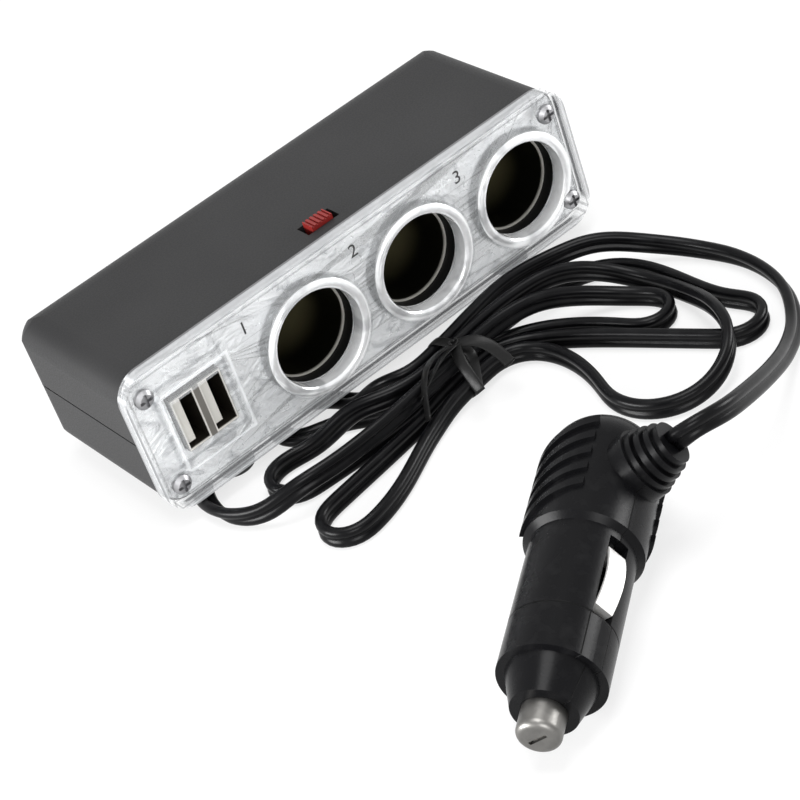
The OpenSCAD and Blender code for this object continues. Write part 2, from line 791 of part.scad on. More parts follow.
module clear_cover() {
    color("#dfe6ea", 0.35) difference() {
        union() {
            translate([0, 0, mid_z]) slab(front_y, cover_t) round_rect(cover_w, cover_h, cover_r);
            for (x = socket_xs) {
                translate([x, front_y, socket_z]) collar();
            }
            translate([-port_x, 0, port_z]) slab(front_y - collar_proud / 2, cover_t)
                round_rect(port_frame_w, port_frame_h, port_frame_r);
        }
        for (x = socket_xs) {
            translate([x, 0, socket_z]) bar_y(housing_bore, front_y - 2 * over, cover_back_y + over);
        }
        translate([-port_x, 0, port_z]) slab(front_y - over, cover_t + 2 * over)
            square([port_open_w, port_open_h], center = true);
        for (x = [-cover_screw_pitch_x / 2, cover_screw_pitch_x / 2], z = cover_screw_zs) {
            translate([x, 0, z]) {
                bar_y(head_recess_r, front_y - over, front_y + head_recess);
                bar_y(screw_r + pin_fit, front_y - over, cover_back_y + over);
            }
        }
    }
}

// Half-round collar on the face of the cover
module collar() {
    rotate([90, 0, 0]) rotate_extrude() intersection() {
        translate([housing_bore + collar_w / 2, 0]) scale_round(collar_w / 2, collar_proud);
        translate([housing_bore, -over]) square([collar_w, collar_proud + over]);
    }
}

// Circle segment of a half width and a height, on a base below zero
module scale_round(half, rise) {
    r = (half * half + rise * rise) / (2 * rise);
    translate([0, rise - r]) circle(r);
}

module backing_plate() {
    color("#c9ccce") difference() {
        translate([0, 0, mid_z]) slab(cover_back_y, backing_t) round_rect(
            cover_w - 2 * backing_margin, cover_h - 2 * backing_margin, cover_r - backing_margin);
        for (x = socket_xs) {
            translate([x, 0, socket_z]) bar_y(housing_bore, cover_back_y - over, shell_front_y + over);
        }
        translate([-port_x, 0, port_z]) slab(cover_back_y - over, backing_t + 2 * over)
            square([port_open_w, port_open_h], center = true);
        for (x = [-cover_screw_pitch_x / 2, cover_screw_pitch_x / 2], z = cover_screw_zs) {
            translate([x, 0, z]) bar_y(screw_r + pin_fit, cover_back_y - over, shell_front_y + over);
        }
    }
}

// Screw with a crossed pan head; its shank runs up from the head's underside at zero
module screw(l) {
    difference() {
        union() {
            cylinder(r = screw_r, h = l);
            translate([0, 0, -head_h / 2]) cylinder(r = head_r, h = head_h / 2);
            translate([0, 0, -head_h]) cylinder(r1 = head_r - head_h / 2, r2 = head_r, h = head_h / 2);
        }
        for (a = [0, 90]) {
            rotate([0, 0, a]) translate([0, 0, -head_h]) cube([cross_w, cross_l, 2 * cross_depth], center = true);
        }
    }
}

module cover_screws() {
    color("#b9bcbf") for (x = [-cover_screw_pitch_x / 2, cover_screw_pitch_x / 2], z = cover_screw_zs) {
        translate([x, front_y + head_recess, z]) rotate([-90, 0, 0]) screw(cover_screw_l);
    }
}

module case_screws() {
    color("#b9bcbf") for (x = [-case_screw_pitch / 2, case_screw_pitch / 2]) {
        translate([x, case_screw_y, case_screw_seat_z]) screw(case_screw_l);
    }
}

module feet() {
    color("#161616") for (x = [-foot_pitch_x / 2, foot_pitch_x / 2], y = [-foot_pitch_y / 2, foot_pitch_y / 2]) {
        translate([x, y, 0]) cylinder(r = foot_r, h = foot_h + foot_seat);
    }
}

// Socket housing with its front flange and a floor with holes for contact and tab
module socket_housing(x) {
    color("#151515") translate([x, 0, socket_z]) difference() {
        union() {
            bar_y(housing_r, shell_front_y, housing_end_y);
            bar_y(flange_r, shell_front_y, shell_front_y + flange_t);
        }
        bar_y(housing_bore, shell_front_y - over, housing_floor_y);
        bar_y(rivet_r + pin_fit, housing_floor_y - over, housing_end_y + over);
        box([-tab_w / 2 - pin_fit, housing_floor_y - over, tab_above - liner_t / 2 - pin_fit],
            [tab_w / 2 + pin_fit, housing_end_y + over, tab_above + liner_t / 2 + pin_fit]);
    }
}

// Metal liner: a cup with a hole in its floor and a tab through the housing's floor
module socket_liner(x) {
    color("#c8c2b0") translate([x, 0, socket_z]) {
        difference() {
            bar_y(liner_r + liner_t, liner_front_y, housing_floor_y);
            bar_y(liner_r, liner_front_y - over, liner_back_y);
            translate([0, liner_back_y, 0]) rotate([-90, 0, 0])
                cylinder(r1 = liner_r, r2 = liner_r - liner_corner, h = liner_corner);
            bar_y(liner_r * liner_hole_share, liner_front_y, housing_floor_y + over);
        }
        box([-tab_w / 2, housing_floor_y - liner_t, tab_above - liner_t / 2],
            [tab_w / 2, housing_end_y, tab_above + liner_t / 2]);
    }
}

module centre_contacts() {
    color("#c9a85a") for (x = socket_xs) {
        translate([x, 0, socket_z]) {
            bar_y(contact_head_r, housing_floor_y - rivet_head_t, housing_floor_y);
            bar_y(rivet_r, housing_floor_y - rivet_head_t, strip_back_y + rivet_tail_t);
            bar_y(rivet_tail_r, strip_back_y, strip_back_y + rivet_tail_t);
        }
    }
}

module bus_positive() {
    color("#b98a4a") difference() {
        box([strip_left_x, housing_end_y, socket_z - strip_h / 2], [strip_right_x, strip_back_y, socket_z + strip_h / 2]);
        for (x = socket_xs) {
            translate([x, 0, socket_z]) bar_y(rivet_r + pin_fit, housing_end_y - over, strip_back_y + over);
        }
    }
}

module bus_ground() {
    color("#b98a4a") box([strip_left_x, housing_end_y, ground_z - ground_strip_h / 2],
        [strip_right_x, strip_back_y, ground_z + ground_strip_h / 2]);
}

// Metal block round the two ports
module port_shell() {
    color("#b4b6b8") translate([-port_x, 0, port_z]) difference() {
        slab(port_front_y, port_depth) square([port_block_w, port_block_h], center = true);
        for (x = [-port_pitch / 2, port_pitch / 2]) {
            translate([x, 0, 0]) slab(port_front_y - over, port_depth - port_back + over)
                square([port_w, port_h], center = true);
        }
    }
}

module port_tongues() {
    color("#f0f0ee") for (x = [-port_pitch / 2, port_pitch / 2]) {
        translate([x - port_w / 2 + tongue_side, 0, port_z]) translate([-port_x, 0, 0])
            box([0, port_front_y + tongue_recess, -tongue_w / 2],
                [tongue_t, port_front_y + port_depth - port_back, tongue_w / 2]);
    }
}

module port_pins() {
    color("#d6b45e") for (x = [-port_pitch / 2, port_pitch / 2], z = pin_places) {
        translate([x - port_w / 2 + tongue_side + tongue_t - port_x, 0, port_z + z])
            box([0, port_front_y + port_depth - port_back - pin_l, -pin_w / 2],
                [pin_t, port_front_y + port_depth - port_back, pin_w / 2]);
    }
}

module circuit_board() {
    color("#2e6b3f") box([board_x, board_y, board_z], [board_face_x, board_y + board_l, board_z + board_h]);
}

// Coil on its core, upright on the board's face
module board_coil() {
    color("#8a5a32") translate([board_face_x, coil_y, port_z]) rotate([0, 90, 0]) difference() {
        cylinder(r = coil_r, h = coil_l);
        translate([0, 0, over]) cylinder(r = coil_core_r, h = coil_l);
    }
}

module board_capacitors() {
    color("#27305c") for (z = [-capacitor_above, capacitor_above]) {
        translate([board_face_x, capacitor_y, port_z + z]) rotate([0, 90, 0]) cylinder(r = capacitor_r, h = capacitor_l);
    }
}

module board_chip() {
    color("#1a1a1a") box([board_face_x, chip_y - chip_w / 2, port_z - chip_below - chip_l / 2],
        [board_face_x + chip_t, chip_y + chip_w / 2, port_z - chip_below + chip_l / 2]);
}

// Body of the slide switch, open at the top
module switch_body() {
    color("#2a2a2a") translate([-switch_x, switch_y, 0]) difference() {
        translate([0, 0, switch_top_z - switch_h]) linear_extrude(switch_h)
            square([switch_body_w, switch_body_d], center = true);
        translate([0, 0, switch_top_z - carriage_h - carriage_gap]) linear_extrude(switch_h)
            square([slot_w, knob_d + carriage_gap], center = true);
    }
}

// Knob with its carriage and grip grooves
module switch_knob() {
    color("#a81420") translate([-switch_x, switch_y, 0]) difference() {
        translate([0, 0, switch_top_z - carriage_h]) linear_extrude(carriage_h + wall + knob_proud)
            square([knob_w, knob_d], center = true);
        for (k = [-2 : 2]) {
            translate([k * grip_groove_pitch - grip_groove_w / 2, -knob_d, top_z + knob_proud - grip_groove_d])
                cube([grip_groove_w, 2 * knob_d, over]);
        }
    }
}

module switch_pins() {
    color("#c9ccce") for (k = [-1 : 1]) {
        translate([k * terminal_pitch - switch_x, switch_y, terminal_z]) linear_extrude(terminal_l)
            square([terminal_t, terminal_w], center = true);
    }
}

// Round wire: one tube along straight runs, with its corners rounded
module wire(points, r) {
    path = wire_path(points, r);
    count = len(path);
    dirs = [for (i = [0 : count - 1]) unit(path[min(i + 1, count - 1)] - path[max(i - 1, 0)])];
    sides = [for (
        i = 0, u = unit(cross(dirs[0], wire_first));
        i < count;
        u = unit(u - (u * dirs[min(i + 1, count - 1)]) * dirs[min(i + 1, count - 1)]), i = i + 1
    ) u];
    rings = [for (i = [0 : count - 1]) for (k = [0 : wire_sides - 1]) let (a = 360 * k / wire_sides)
        path[i] + r * (cos(a) * sides[i] + sin(a) * cross(sides[i], dirs[i]))];
    polyhedron(rings, tube_faces(count, wire_sides), convexity = 10);
}

boot_inner_y = inner_back_y - boot_flange_t;

module wire_positive() {
    x = -exit_x - wire_pitch / 2;
    color("#b02020") wire([[x, boot_inner_y - fit, exit_z], [x, wire_run_y, exit_z],
        [x, wire_run_y, socket_z], [x, strip_back_y, socket_z]], wire_r);
}

module wire_negative() {
    x = -exit_x + wire_pitch / 2;
    color("#202020") wire([[x, boot_inner_y - fit, exit_z], [x, wire_run_y, exit_z],
        [x, wire_run_y, ground_z], [x, strip_back_y, ground_z]], wire_r);
}

// Wires from the strips to the circuit board
module wires_board() {
    start_x = strip_left_x + wire_pitch / 2;
    out_x = socket_xs[0] - housing_r - 4 * wire_r - wire_pitch;
    in_x = board_face_x + capacitor_l;
    low_z = board_z + wire_pitch;
    high_z = board_z + board_h - wire_pitch;
    end_y = board_y + board_l - wire_pitch;
    color("#b02020") wire([[start_x, strip_back_y, socket_z], [start_x, wire_run_y, socket_z],
        [out_x, wire_run_y, low_z], [in_x, end_y, low_z], [board_face_x, end_y, low_z]], thin_wire_r);
    color("#202020") wire([[start_x, strip_back_y, ground_z], [start_x, wire_run_y, ground_z],
        [out_x, wire_run_y, high_z], [in_x, end_y, high_z], [board_face_x, end_y, high_z]], thin_wire_r);
}

// Wires from the switch to the positive strip and to the circuit board
module wires_switch() {
    mid_x = (socket_xs[0] + socket_xs[1]) / 2;
    left_x = -switch_x - terminal_pitch;
    out_x = socket_xs[0] - housing_r - wire_pitch;
    behind_y = switch_y + switch_body_d;
    end_y = board_y + port_depth;
    over_z = switch_top_z - wire_pitch;
    high_z = board_z + board_h - wire_pitch;
    low_z = terminal_z - switch_drop;
    color("#b02020") wire([[mid_x, housing_end_y, socket_z], [mid_x, housing_end_y - wire_pitch, socket_z],
        [-switch_x, switch_y, low_z], [-switch_x, switch_y, terminal_z]], thin_wire_r);
    color("#c0a020") wire([[left_x, switch_y, terminal_z], [left_x, switch_y, low_z], [left_x, behind_y, low_z],
        [left_x, behind_y, over_z], [out_x, behind_y, over_z], [board_face_x + capacitor_l, end_y, high_z],
        [board_face_x, end_y, high_z]], thin_wire_r);
}

// Ribbed boot in the back wall, with a flange inside and one outside
module case_boot() {
    color("#141414") translate([-exit_x, 0, exit_z]) {
        bar_y(boot_flange_r, boot_inner_y - fit, inner_back_y - fit);
        bar_y(boot_r, boot_inner_y, exit_y);
        bar_y(boot_flange_r, back_y, back_y + boot_ring_w);
        for (k = [1 : 3]) {
            bar_y(boot_r + boot_ring_rise, back_y + k * boot_ring_pitch, back_y + k * boot_ring_pitch + boot_ring_w);
        }
    }
}

// Flat cord along points of x, y, z and lean, square to the directions of its ends
module flat_tube(points, sides, first, last) {
    count = len(points);
    rings = [for (i = [0 : count - 1]) let (
        d = i == 0 ? first : i == count - 1 ? last : unit(place(points[i + 1]) - place(points[i - 1])),
        aside = unit(cross(d, [0, 0, 1])),
        up = cross(aside, d),
        lean = points[i][3],
        high = up * cos(lean) + aside * sin(lean),
        wide = aside * cos(lean) - up * sin(lean)
    ) for (k = [0 : sides - 1]) let (a = 360 * k / sides)
        place(points[i]) + high * cos(a) * cord_w / 2 + wide * sin(a) * cord_t / 2];
    polyhedron(rings, tube_faces(count, sides), convexity = 10);
}

module cord_lead() {
    color("#131313") flat_tube(lead_points, 8, [0, 1, 0], waist_axis);
}

module cord_hank() {
    start = raised([waist_in[0], waist_in[1], waist_in[2], 0]);
    end = raised([waist_out[0], waist_out[1], waist_out[2], 0]);
    color("#131313") flat_tube(concat([start], hank_points(fold_rings), [end]), 6, waist_axis, waist_axis);
}

module cord_tail() {
    color("#131313") flat_tube(tail_points, 8, waist_axis, -boot_axis);
}

// Band round the waist with its two twisted ends on top
module cord_tie() {
    half = max([for (slot = slots) slot[1]]) * waist_pitch + cord_t / 2 + tie_gap;
    low = waist_lift - tie_gap;
    high = waist_lift + waist_layer + cord_w + tie_gap;
    color("#101010") translate([waist_centre[0], waist_centre[1], 0]) rotate([0, 0, waist_angle]) {
        translate([-tie_w / 2, 0, 0]) rotate([90, 0, 90]) linear_extrude(tie_w) difference() {
            translate([-half - tie_t, low - tie_t]) square([2 * (half + tie_t), high - low + 2 * tie_t]);
            translate([-half, low]) square([2 * half, high - low]);
        }
        translate([0, 0, high]) cylinder(r = knot_r, h = knot_t);
        for (a = tie_end_angles) {
            translate([0, 0, high + knot_t - tie_t]) rotate([0, 0, a]) translate([0, -tie_w / 2, 0])
                cube([tie_end_l, tie_w, tie_t]);
        }
    }
}

// Puts what is drawn upright, from the domed end up, where the plug lies
module on_plug_axis() {
    translate(plug_pos + [0, 0, plug_rise]) rotate([0, 0, plug_heading]) rotate([0, 90 + plug_dip, 0])
        rotate([0, 0, 90 + plug_roll]) children();
}

// Puts what is drawn upright on the axis of the plug's boot
module on_boot_axis() {
    translate([0, 0, boot_s]) rotate([0, 180 - boot_tilt, 0]) children();
}

// Round bar along the plug's axis
module rod(r, from, to) {
    translate([0, 0, from]) cylinder(r = r, h = to - from);
}

// Slanted ribs on both sides of the grip
module grip_ribs() {
    reach = 4 * grip_r;
    intersection() {
        difference() {
            rod(rib_r, 0, grip_l);
            rod(grip_r - rib_w / 2, -over, grip_l + over);
        }
        union() {
            for (side = [-1, 1]) {
                linear_extrude(grip_l) polygon([[0, 0],
                    [reach * sin(rib_spread), side * reach * cos(rib_spread)],
                    [-reach * sin(rib_spread), side * reach * cos(rib_spread)]]);
            }
        }
        union() {
            for (k = [0 : rib_count - 1]) {
                translate([0, 0, rib_first + k * rib_pitch]) rotate([0, rib_slant, 0])
                    cube([reach, reach, rib_w], center = true);
            }
        }
    }
}

// Both halves of the plug's body as one
module plug_body() {
    difference() {
        union() {
            translate([0, 0, grip_r]) sphere(grip_r);
            rod(grip_r, grip_r, grip_l);
            translate([0, 0, grip_l]) cylinder(r1 = grip_r, r2 = barrel_r, h = step_l);
            rod(barrel_r, grip_l + step_l, seam_s);
            rod(spigot_r, seam_s, seam_s + spigot_l);
            grip_ribs();
            on_boot_axis() rod(boot_seat_r, boot_inner, boss_out);
        }
        rod(grip_r - grip_wall, cavity_start, cavity_end);
        rod(terminal_stem_r + pin_fit, cavity_start, floor_end + over);
        rod(chamber_r, floor_end, seam_s + spigot_l + over);
        on_boot_axis() rod(boot_hole_r + pin_fit, boot_inner, boss_out + over);
        on_boot_axis() rod(boot_seat_r, boss_out, boot_end);
        for (side = [-1, 1]) {
            translate([side * wire_hole_at, 0, 0]) rod(wire_hole_r, cavity_end - over, slot_start + over);
        }
        for (turn = [0, 180]) {
            rotate([0, 0, turn]) box([pocket_r, -slot_half, slot_start], [grip_r, slot_half, seam_s + over]);
        }
    }
}

// One half of the plug's body, on one side of its seam
module plug_half(side) {
    on_plug_axis() intersection() {
        plug_body();
        translate([0, side * grip_r, 0]) cube([4 * grip_r, 2 * grip_r, 3 * seam_s], center = true);
    }
}

module plug_half_left() {
    color("#1b1b1c") plug_half(1);
}

module plug_half_right() {
    color("#1b1b1c") plug_half(-1);
}

// Stepped boot of the plug
module plug_boot() {
    color("#161616") on_plug_axis() on_boot_axis() {
        rod(boot_inner_r, boot_inner, boot_inner + boot_inner_t);
        rod(boot_hole_r, boot_inner, boot_end);
        for (k = [0 : len(boot_steps) - 1]) {
            start = boss_out + (k == 0 ? 0 : total([for (i = [0 : k - 1]) boot_steps[i][1]]));
            rod(boot_steps[k][0], start, start + boot_steps[k][1]);
        }
    }
}

module plug_collar() {
    color("#1b1b1c") on_plug_axis() difference() {
        rod(barrel_r, seam_s, collar_end);
        rod(spigot_r + pin_fit, seam_s - over, collar_end + over);
    }
}

// Nose that screws into the collar and holds the fuse in
module plug_nose() {
    color("#1b1b1c") on_plug_axis() difference() {
        union() {
            rod(spigot_r, collar_end - skirt_l, collar_end);
            translate([0, 0, collar_end]) cylinder(r1 = nose_r, r2 = nose_front_r, h = nose_l);
        }
        rod(tip_flange_r + fit, collar_end - skirt_l - over, nose_end - nose_front_wall);
        rod(tip_r + fit, collar_end, nose_end + over);
    }
}

module plug_tip() {
    color("#c9ccce") on_plug_axis() difference() {
        union() {
            rod(tip_flange_r, fuse_front, nose_end - nose_front_wall - tip_flange_gap);
            rod(tip_r, fuse_front, tip_end - tip_round);
            rod(tip_r - tip_round, fuse_front, tip_end);
            translate([0, 0, tip_end - tip_round]) rotate_extrude() translate([tip_r - tip_round, 0]) circle(tip_round);
        }
        translate([0, 0, tip_end]) cube([tip_r, cross_w, 2 * cross_w], center = true);
    }
}

module tip_spring() {
    color("#b9bcbf") on_plug_axis() difference() {
        rod(fuse_r - fuse_gap, spring_start, fuse_back);
        rod(fuse_r - fuse_gap - spring_wire, spring_start - over, fuse_back + over);
    }
}

module fuse_tube() {
    color("#dfe8ea", 0.5) on_plug_axis() difference() {
        rod(fuse_r - fuse_cap_wall - pin_fit, fuse_back + fuse_cap_t, fuse_front - fuse_cap_t);
        rod(fuse_r - fuse_cap_wall - pin_fit - fuse_glass_wall, fuse_back, fuse_front);
    }
}

module fuse_caps() {
    color("#c9ccce") on_plug_axis() difference() {
        union() {
            rod(fuse_r, fuse_back, fuse_back + fuse_cap_l);
            rod(fuse_r, fuse_front - fuse_cap_l, fuse_front);
        }
        rod(fuse_r - fuse_cap_wall, fuse_back + fuse_cap_t, fuse_front - fuse_cap_t);
    }
}

module fuse_terminal() {
    color("#c9a85a") on_plug_axis() {
        rod(chamber_r - fuse_gap, floor_end, spring_start);
        rod(terminal_stem_r, floor_end - terminal_stem_l, floor_end);
    }
}

// Bowed spring contact of one side
module side_contact() {
    color("#d0d2d4") translate([0, leaf_w / 2, 0]) rotate([90, 0, 0]) linear_extrude(leaf_w) {
        intersection() {
            translate([barrel_r + leaf_proud - leaf_bend_r, leaf_mid]) difference() {
                circle(leaf_bend_r, $fn = 128);
                circle(leaf_bend_r - leaf_t, $fn = 128);
            }
            translate([pocket_r, leaf_start]) square([grip_r, leaf_l]);
        }
        translate([pocket_r + leaf_foot_gap, leaf_start])
            square([leaf_edge_r - pocket_r - leaf_foot_gap, leaf_t]);
        translate([leaf_edge_r - leaf_front_leg, leaf_start + leaf_l - leaf_t]) square([leaf_front_leg, leaf_t]);
    }
}

module side_contact_upper() {
    on_plug_axis() side_contact();
}

module side_contact_lower() {
    on_plug_axis() rotate([0, 0, 180]) side_contact();
}

// Wires inside the grip, from the boot to the fuse terminal and the side contacts
module plug_wires() {
    start = [boot_inner * sin(boot_tilt), 0, boot_s - boot_inner * cos(boot_tilt)];
    turn = start - 4 * plug_wire_r * [sin(boot_tilt), 0, -cos(boot_tilt)];
    offset = [0, plug_wire_r + terminal_stem_r / 2, 0];
    bend_s = cavity_end - 6 * plug_wire_r;
    stem_s = floor_end - terminal_stem_l;
    color("#b02020") on_plug_axis()
        wire([start + offset, turn + offset, [0, 0, bend_s - 3 * plug_wire_r], [0, 0, stem_s]], plug_wire_r);
    color("#202020") on_plug_axis() {
        wire([start - offset, turn - offset, [wire_hole_at, 0, bend_s], [wire_hole_at, 0, leaf_start]], plug_wire_r);
        wire([turn - offset, [-turn[0], -3 * offset[1], turn[2] + 3 * plug_wire_r], [-wire_hole_at, 0, bend_s],
            [-wire_hole_at, 0, leaf_start]], plug_wire_r);
    }
}

shell_top();
shell_bottom();
clear_cover();
backing_plate();
cover_screws();
case_screws();
feet();
socket_housing(socket_xs[0]);  // socket_housing_left
socket_housing(socket_xs[1]);  // socket_housing_middle
socket_housing(socket_xs[2]);  // socket_housing_right
socket_liner(socket_xs[0]);  // socket_liner_left
socket_liner(socket_xs[1]);  // socket_liner_middle
socket_liner(socket_xs[2]);  // socket_liner_right
centre_contacts();
bus_positive();
bus_ground();
port_shell();
port_tongues();
port_pins();
circuit_board();
board_coil();
board_capacitors();
board_chip();
switch_body();
switch_knob();
switch_pins();
wire_positive();
wire_negative();
wires_board();
wires_switch();
case_boot();
cord_lead();
cord_hank();
cord_tail();
cord_tie();
plug_half_left();
plug_half_right();
plug_boot();
plug_collar();
plug_nose();
plug_tip();
tip_spring();
fuse_tube();
fuse_caps();
fuse_terminal();
side_contact_upper();
side_contact_lower();
plug_wires();
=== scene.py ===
import bmesh
import bpy
import numpy as np
from math import radians
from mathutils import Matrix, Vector


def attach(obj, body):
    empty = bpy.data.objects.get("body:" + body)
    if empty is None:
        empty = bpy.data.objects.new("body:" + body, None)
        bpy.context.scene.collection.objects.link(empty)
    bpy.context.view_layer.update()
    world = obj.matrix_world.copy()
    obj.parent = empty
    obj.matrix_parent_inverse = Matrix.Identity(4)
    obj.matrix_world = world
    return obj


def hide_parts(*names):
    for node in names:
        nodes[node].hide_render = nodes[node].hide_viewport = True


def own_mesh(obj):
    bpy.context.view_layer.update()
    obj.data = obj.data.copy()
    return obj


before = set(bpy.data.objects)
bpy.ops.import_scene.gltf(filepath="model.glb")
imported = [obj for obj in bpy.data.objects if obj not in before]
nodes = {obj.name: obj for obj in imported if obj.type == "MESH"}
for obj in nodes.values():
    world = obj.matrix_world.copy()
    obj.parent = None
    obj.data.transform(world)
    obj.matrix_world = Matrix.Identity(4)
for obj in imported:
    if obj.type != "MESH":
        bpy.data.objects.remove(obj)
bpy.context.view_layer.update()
mm = 0.001
print("frame loaded with", len(nodes), "nodes")


# camera, where the photograph was taken from
camera = {"place": (-0.20175, -0.42102, 0.31142), "turn": (52.7027, 16.5161, -38.8949), "lens": 112.836,
          "sensor": 36}
cameraData = bpy.data.cameras.new("camera")
cameraData.lens = camera["lens"]
cameraData.sensor_width = camera["sensor"]
cameraObject = bpy.data.objects.new("camera", cameraData)
cameraObject.location = camera["place"]
cameraObject.rotation_euler = [radians(a) for a in camera["turn"]]
bpy.context.scene.collection.objects.link(cameraObject)
bpy.context.scene.camera = cameraObject
print("camera placed")


# helpers for meshes
def unit(v):
    # vectors over their length
    return v / np.linalg.norm(v, axis=-1, keepdims=True)


def runAlong(points):
    # distance along a line of points, 0 at the first
    return np.concatenate([[0], np.cumsum(np.linalg.norm(np.diff(points, axis=0), axis=1))])


def tubeMesh(rings):
    # rings of equal length joined by quads, each end closed by a fan round its middle point
    rows, columns = rings.shape[:2]
    points = np.vstack([rings.reshape(-1, 3), rings[0].mean(0)[None], rings[-1].mean(0)[None]])
    i = np.arange(rows - 1)[:, None] * columns
    j = np.arange(columns)
    k = (j + 1) % columns
    quads = np.stack([i + j, i + k, i + columns + k, i + columns + j], -1).reshape(-1, 4)
    middle = rows * columns  # number of the first middle point, the other one follows it
    first = np.stack([j * 0 + middle, k, j], -1)
    last = np.stack([j * 0 + middle + 1, middle - columns + j, middle - columns + k], -1)
    return points, quads.tolist() + first.tolist() + last.tolist()


def addPiece(name, parts, finish, body, uv=None, smooth=True):
    # one object out of parts, each its points and faces
    points = np.vstack([p for p, f in parts])
    shift = np.cumsum([0] + [len(p) for p, f in parts])
    faces = [[a + int(s) for a in face] for (p, f), s in zip(parts, shift) for face in f]
    mesh = bpy.data.meshes.new(name)
    mesh.from_pydata(points.tolist(), [], faces)
    mesh.validate()
    mesh.update()
    mesh.polygons.foreach_set("use_smooth", [smooth] * len(mesh.polygons))
    if uv is not None:
        layer = mesh.uv_layers.new(name="along")
        corner = np.zeros(len(mesh.loops), np.int32)
        mesh.loops.foreach_get("vertex_index", corner)
        layer.data.foreach_set("uv", uv[corner].astype(np.float32).ravel())
    piece = bpy.data.objects.new(name, mesh)
    bpy.context.scene.collection.objects.link(piece)
    mesh.materials.append(finish)
    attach(piece, body)
    return piece


# helpers for finishes
class Value:
    # an output of a node; arithmetic on it adds Math nodes
    def __init__(self, graph, socket):
        self.graph = graph
        self.socket = socket

    def __add__(self, other):
        return self.graph.maths("ADD", self, other)

    def __radd__(self, other):
        return self.graph.maths("ADD", other, self)

    def __sub__(self, other):
        return self.graph.maths("SUBTRACT", self, other)

    def __rsub__(self, other):
        return self.graph.maths("SUBTRACT", other, self)

    def __mul__(self, other):
        return self.graph.maths("MULTIPLY", self, other)

    def __rmul__(self, other):
        return self.graph.maths("MULTIPLY", other, self)

    def __pow__(self, other):
        return self.graph.maths("POWER", self, other)

    def __rpow__(self, other):
        return self.graph.maths("POWER", other, self)

    def __abs__(self):
        return self.graph.maths("ABSOLUTE", self)

    def least(self, other):
        return self.graph.maths("MINIMUM", self, other)

    def most(self, other):
        return self.graph.maths("MAXIMUM", self, other)

    def rise(self, low, high):
        # smooth step from 0 at low to 1 at high
        return self.graph.node("ShaderNodeMapRange", {"interpolation_type": "SMOOTHSTEP"},
                               {"Value": self, "From Min": low, "From Max": high})

    def other(self, output):
        # another output of the same node
        return Value(self.graph, self.socket.node.outputs[output])


class Graph:
    # the nodes of a material or of the world
    def __init__(self, tree):
        self.tree = tree

    def join(self, value, socket):
        # a link from a Value, or a plain number, vector or colour on the socket itself
        if isinstance(value, Value):
            self.tree.links.new(value.socket, socket)
        else:
            socket.default_value = (*value, 1.0) if socket.type == "RGBA" and len(value) == 3 else value

    def node(self, kind, settings=None, inputs=None, output=0):
        made = self.tree.nodes.new(kind)
        for key, value in (settings or {}).items():
            setattr(made, key, value)
        for key, value in (inputs or {}).items():
            self.join(value, made.inputs[key])
        return Value(self, made.outputs[output])

    def maths(self, operation, *values):
        return self.node("ShaderNodeMath", {"operation": operation}, dict(enumerate(values)))

    def seen(self):
        # 1 for what is seen, directly, as a reflection or through clear plastic, and 0 for what gives light
        rays = self.node("ShaderNodeLightPath", output="Is Camera Ray")
        return rays.most(rays.other("Is Glossy Ray")).most(rays.other("Is Transmission Ray"))


class Finish(Graph):
    # a material with one Principled shader and patterns on Object coordinates
    def __init__(self, name):
        self.material = bpy.data.materials.new(name)
        self.material.use_nodes = True
        super().__init__(self.material.node_tree)
        self.shader = self.tree.nodes["Principled BSDF"]
        self.place = self.node("ShaderNodeTexCoord", output="Object")

    def mix(self, share, a, b):
        # colour between a and b
        return self.node("ShaderNodeMix", {"data_type": "RGBA"}, {0: share, 6: a, 7: b}, 2)

    def axes(self):
        # x, y and z of the place
        split = self.node("ShaderNodeSeparateXYZ", None, {0: self.place})
        return [split.other(i) for i in range(3)]

    def vectorMaths(self, operation, a, b, output=0):
        return self.node("ShaderNodeVectorMath", {"operation": operation}, {0: a, 1: b}, output)

    def noise(self, scale, detail=2.0, distortion=0.0, vector=None):
        return self.node("ShaderNodeTexNoise", None, {"Vector": vector or self.place, "Scale": scale,
                                                      "Detail": detail, "Distortion": distortion})

    def bump(self, height, distance, strength=1.0):
        self.set(Normal=self.node("ShaderNodeBump", None, {"Height": height, "Distance": distance,
                                                           "Strength": strength}))

    def set(self, **inputs):
        for key, value in inputs.items():
            self.join(value, self.shader.inputs[key.replace("_", " ")])


# finishes, lengths in metres. In a look a pattern is its scale, detail and distortion, a fade is where it starts
# and where it is full, a bump is its depth and strength, and rough is the least and what each pattern adds.
# The panel is x and z of the sockets' middles and of the middle between the ports, the height of the front
# plate's middle, and half the plate's width and height
panel = {"sockets": [(-0.0145, 0.0202), (0.015, 0.0202), (0.0445, 0.0202)], "ports": (-0.0444, 0.0217),
         "middle": 0.0215, "half": (0.0605, 0.0175)}


def plainFinish(name, base, dark, rough, metal=0.0, grain=900, specular=0.5):
    # base colour that drifts to a dark one in broad patches, and a fine grain in its surface and its gloss
    look = {"patches": (60, 3), "patchFade": (0.35, 0.7), "grainFade": (0.3, 0.7), "roughSpan": 0.08,
            "depth": 0.00002}
    f = Finish(name)
    patches = f.noise(*look["patches"])
    fine = f.noise(grain, 3)
    f.set(Base_Color=f.mix(patches.rise(*look["patchFade"]), base, dark), Metallic=metal,
          Roughness=fine.rise(*look["grainFade"]) * look["roughSpan"] + (rough - look["roughSpan"] / 2),
          Specular_IOR_Level=specular)
    f.bump(fine, look["depth"])
    return f.material


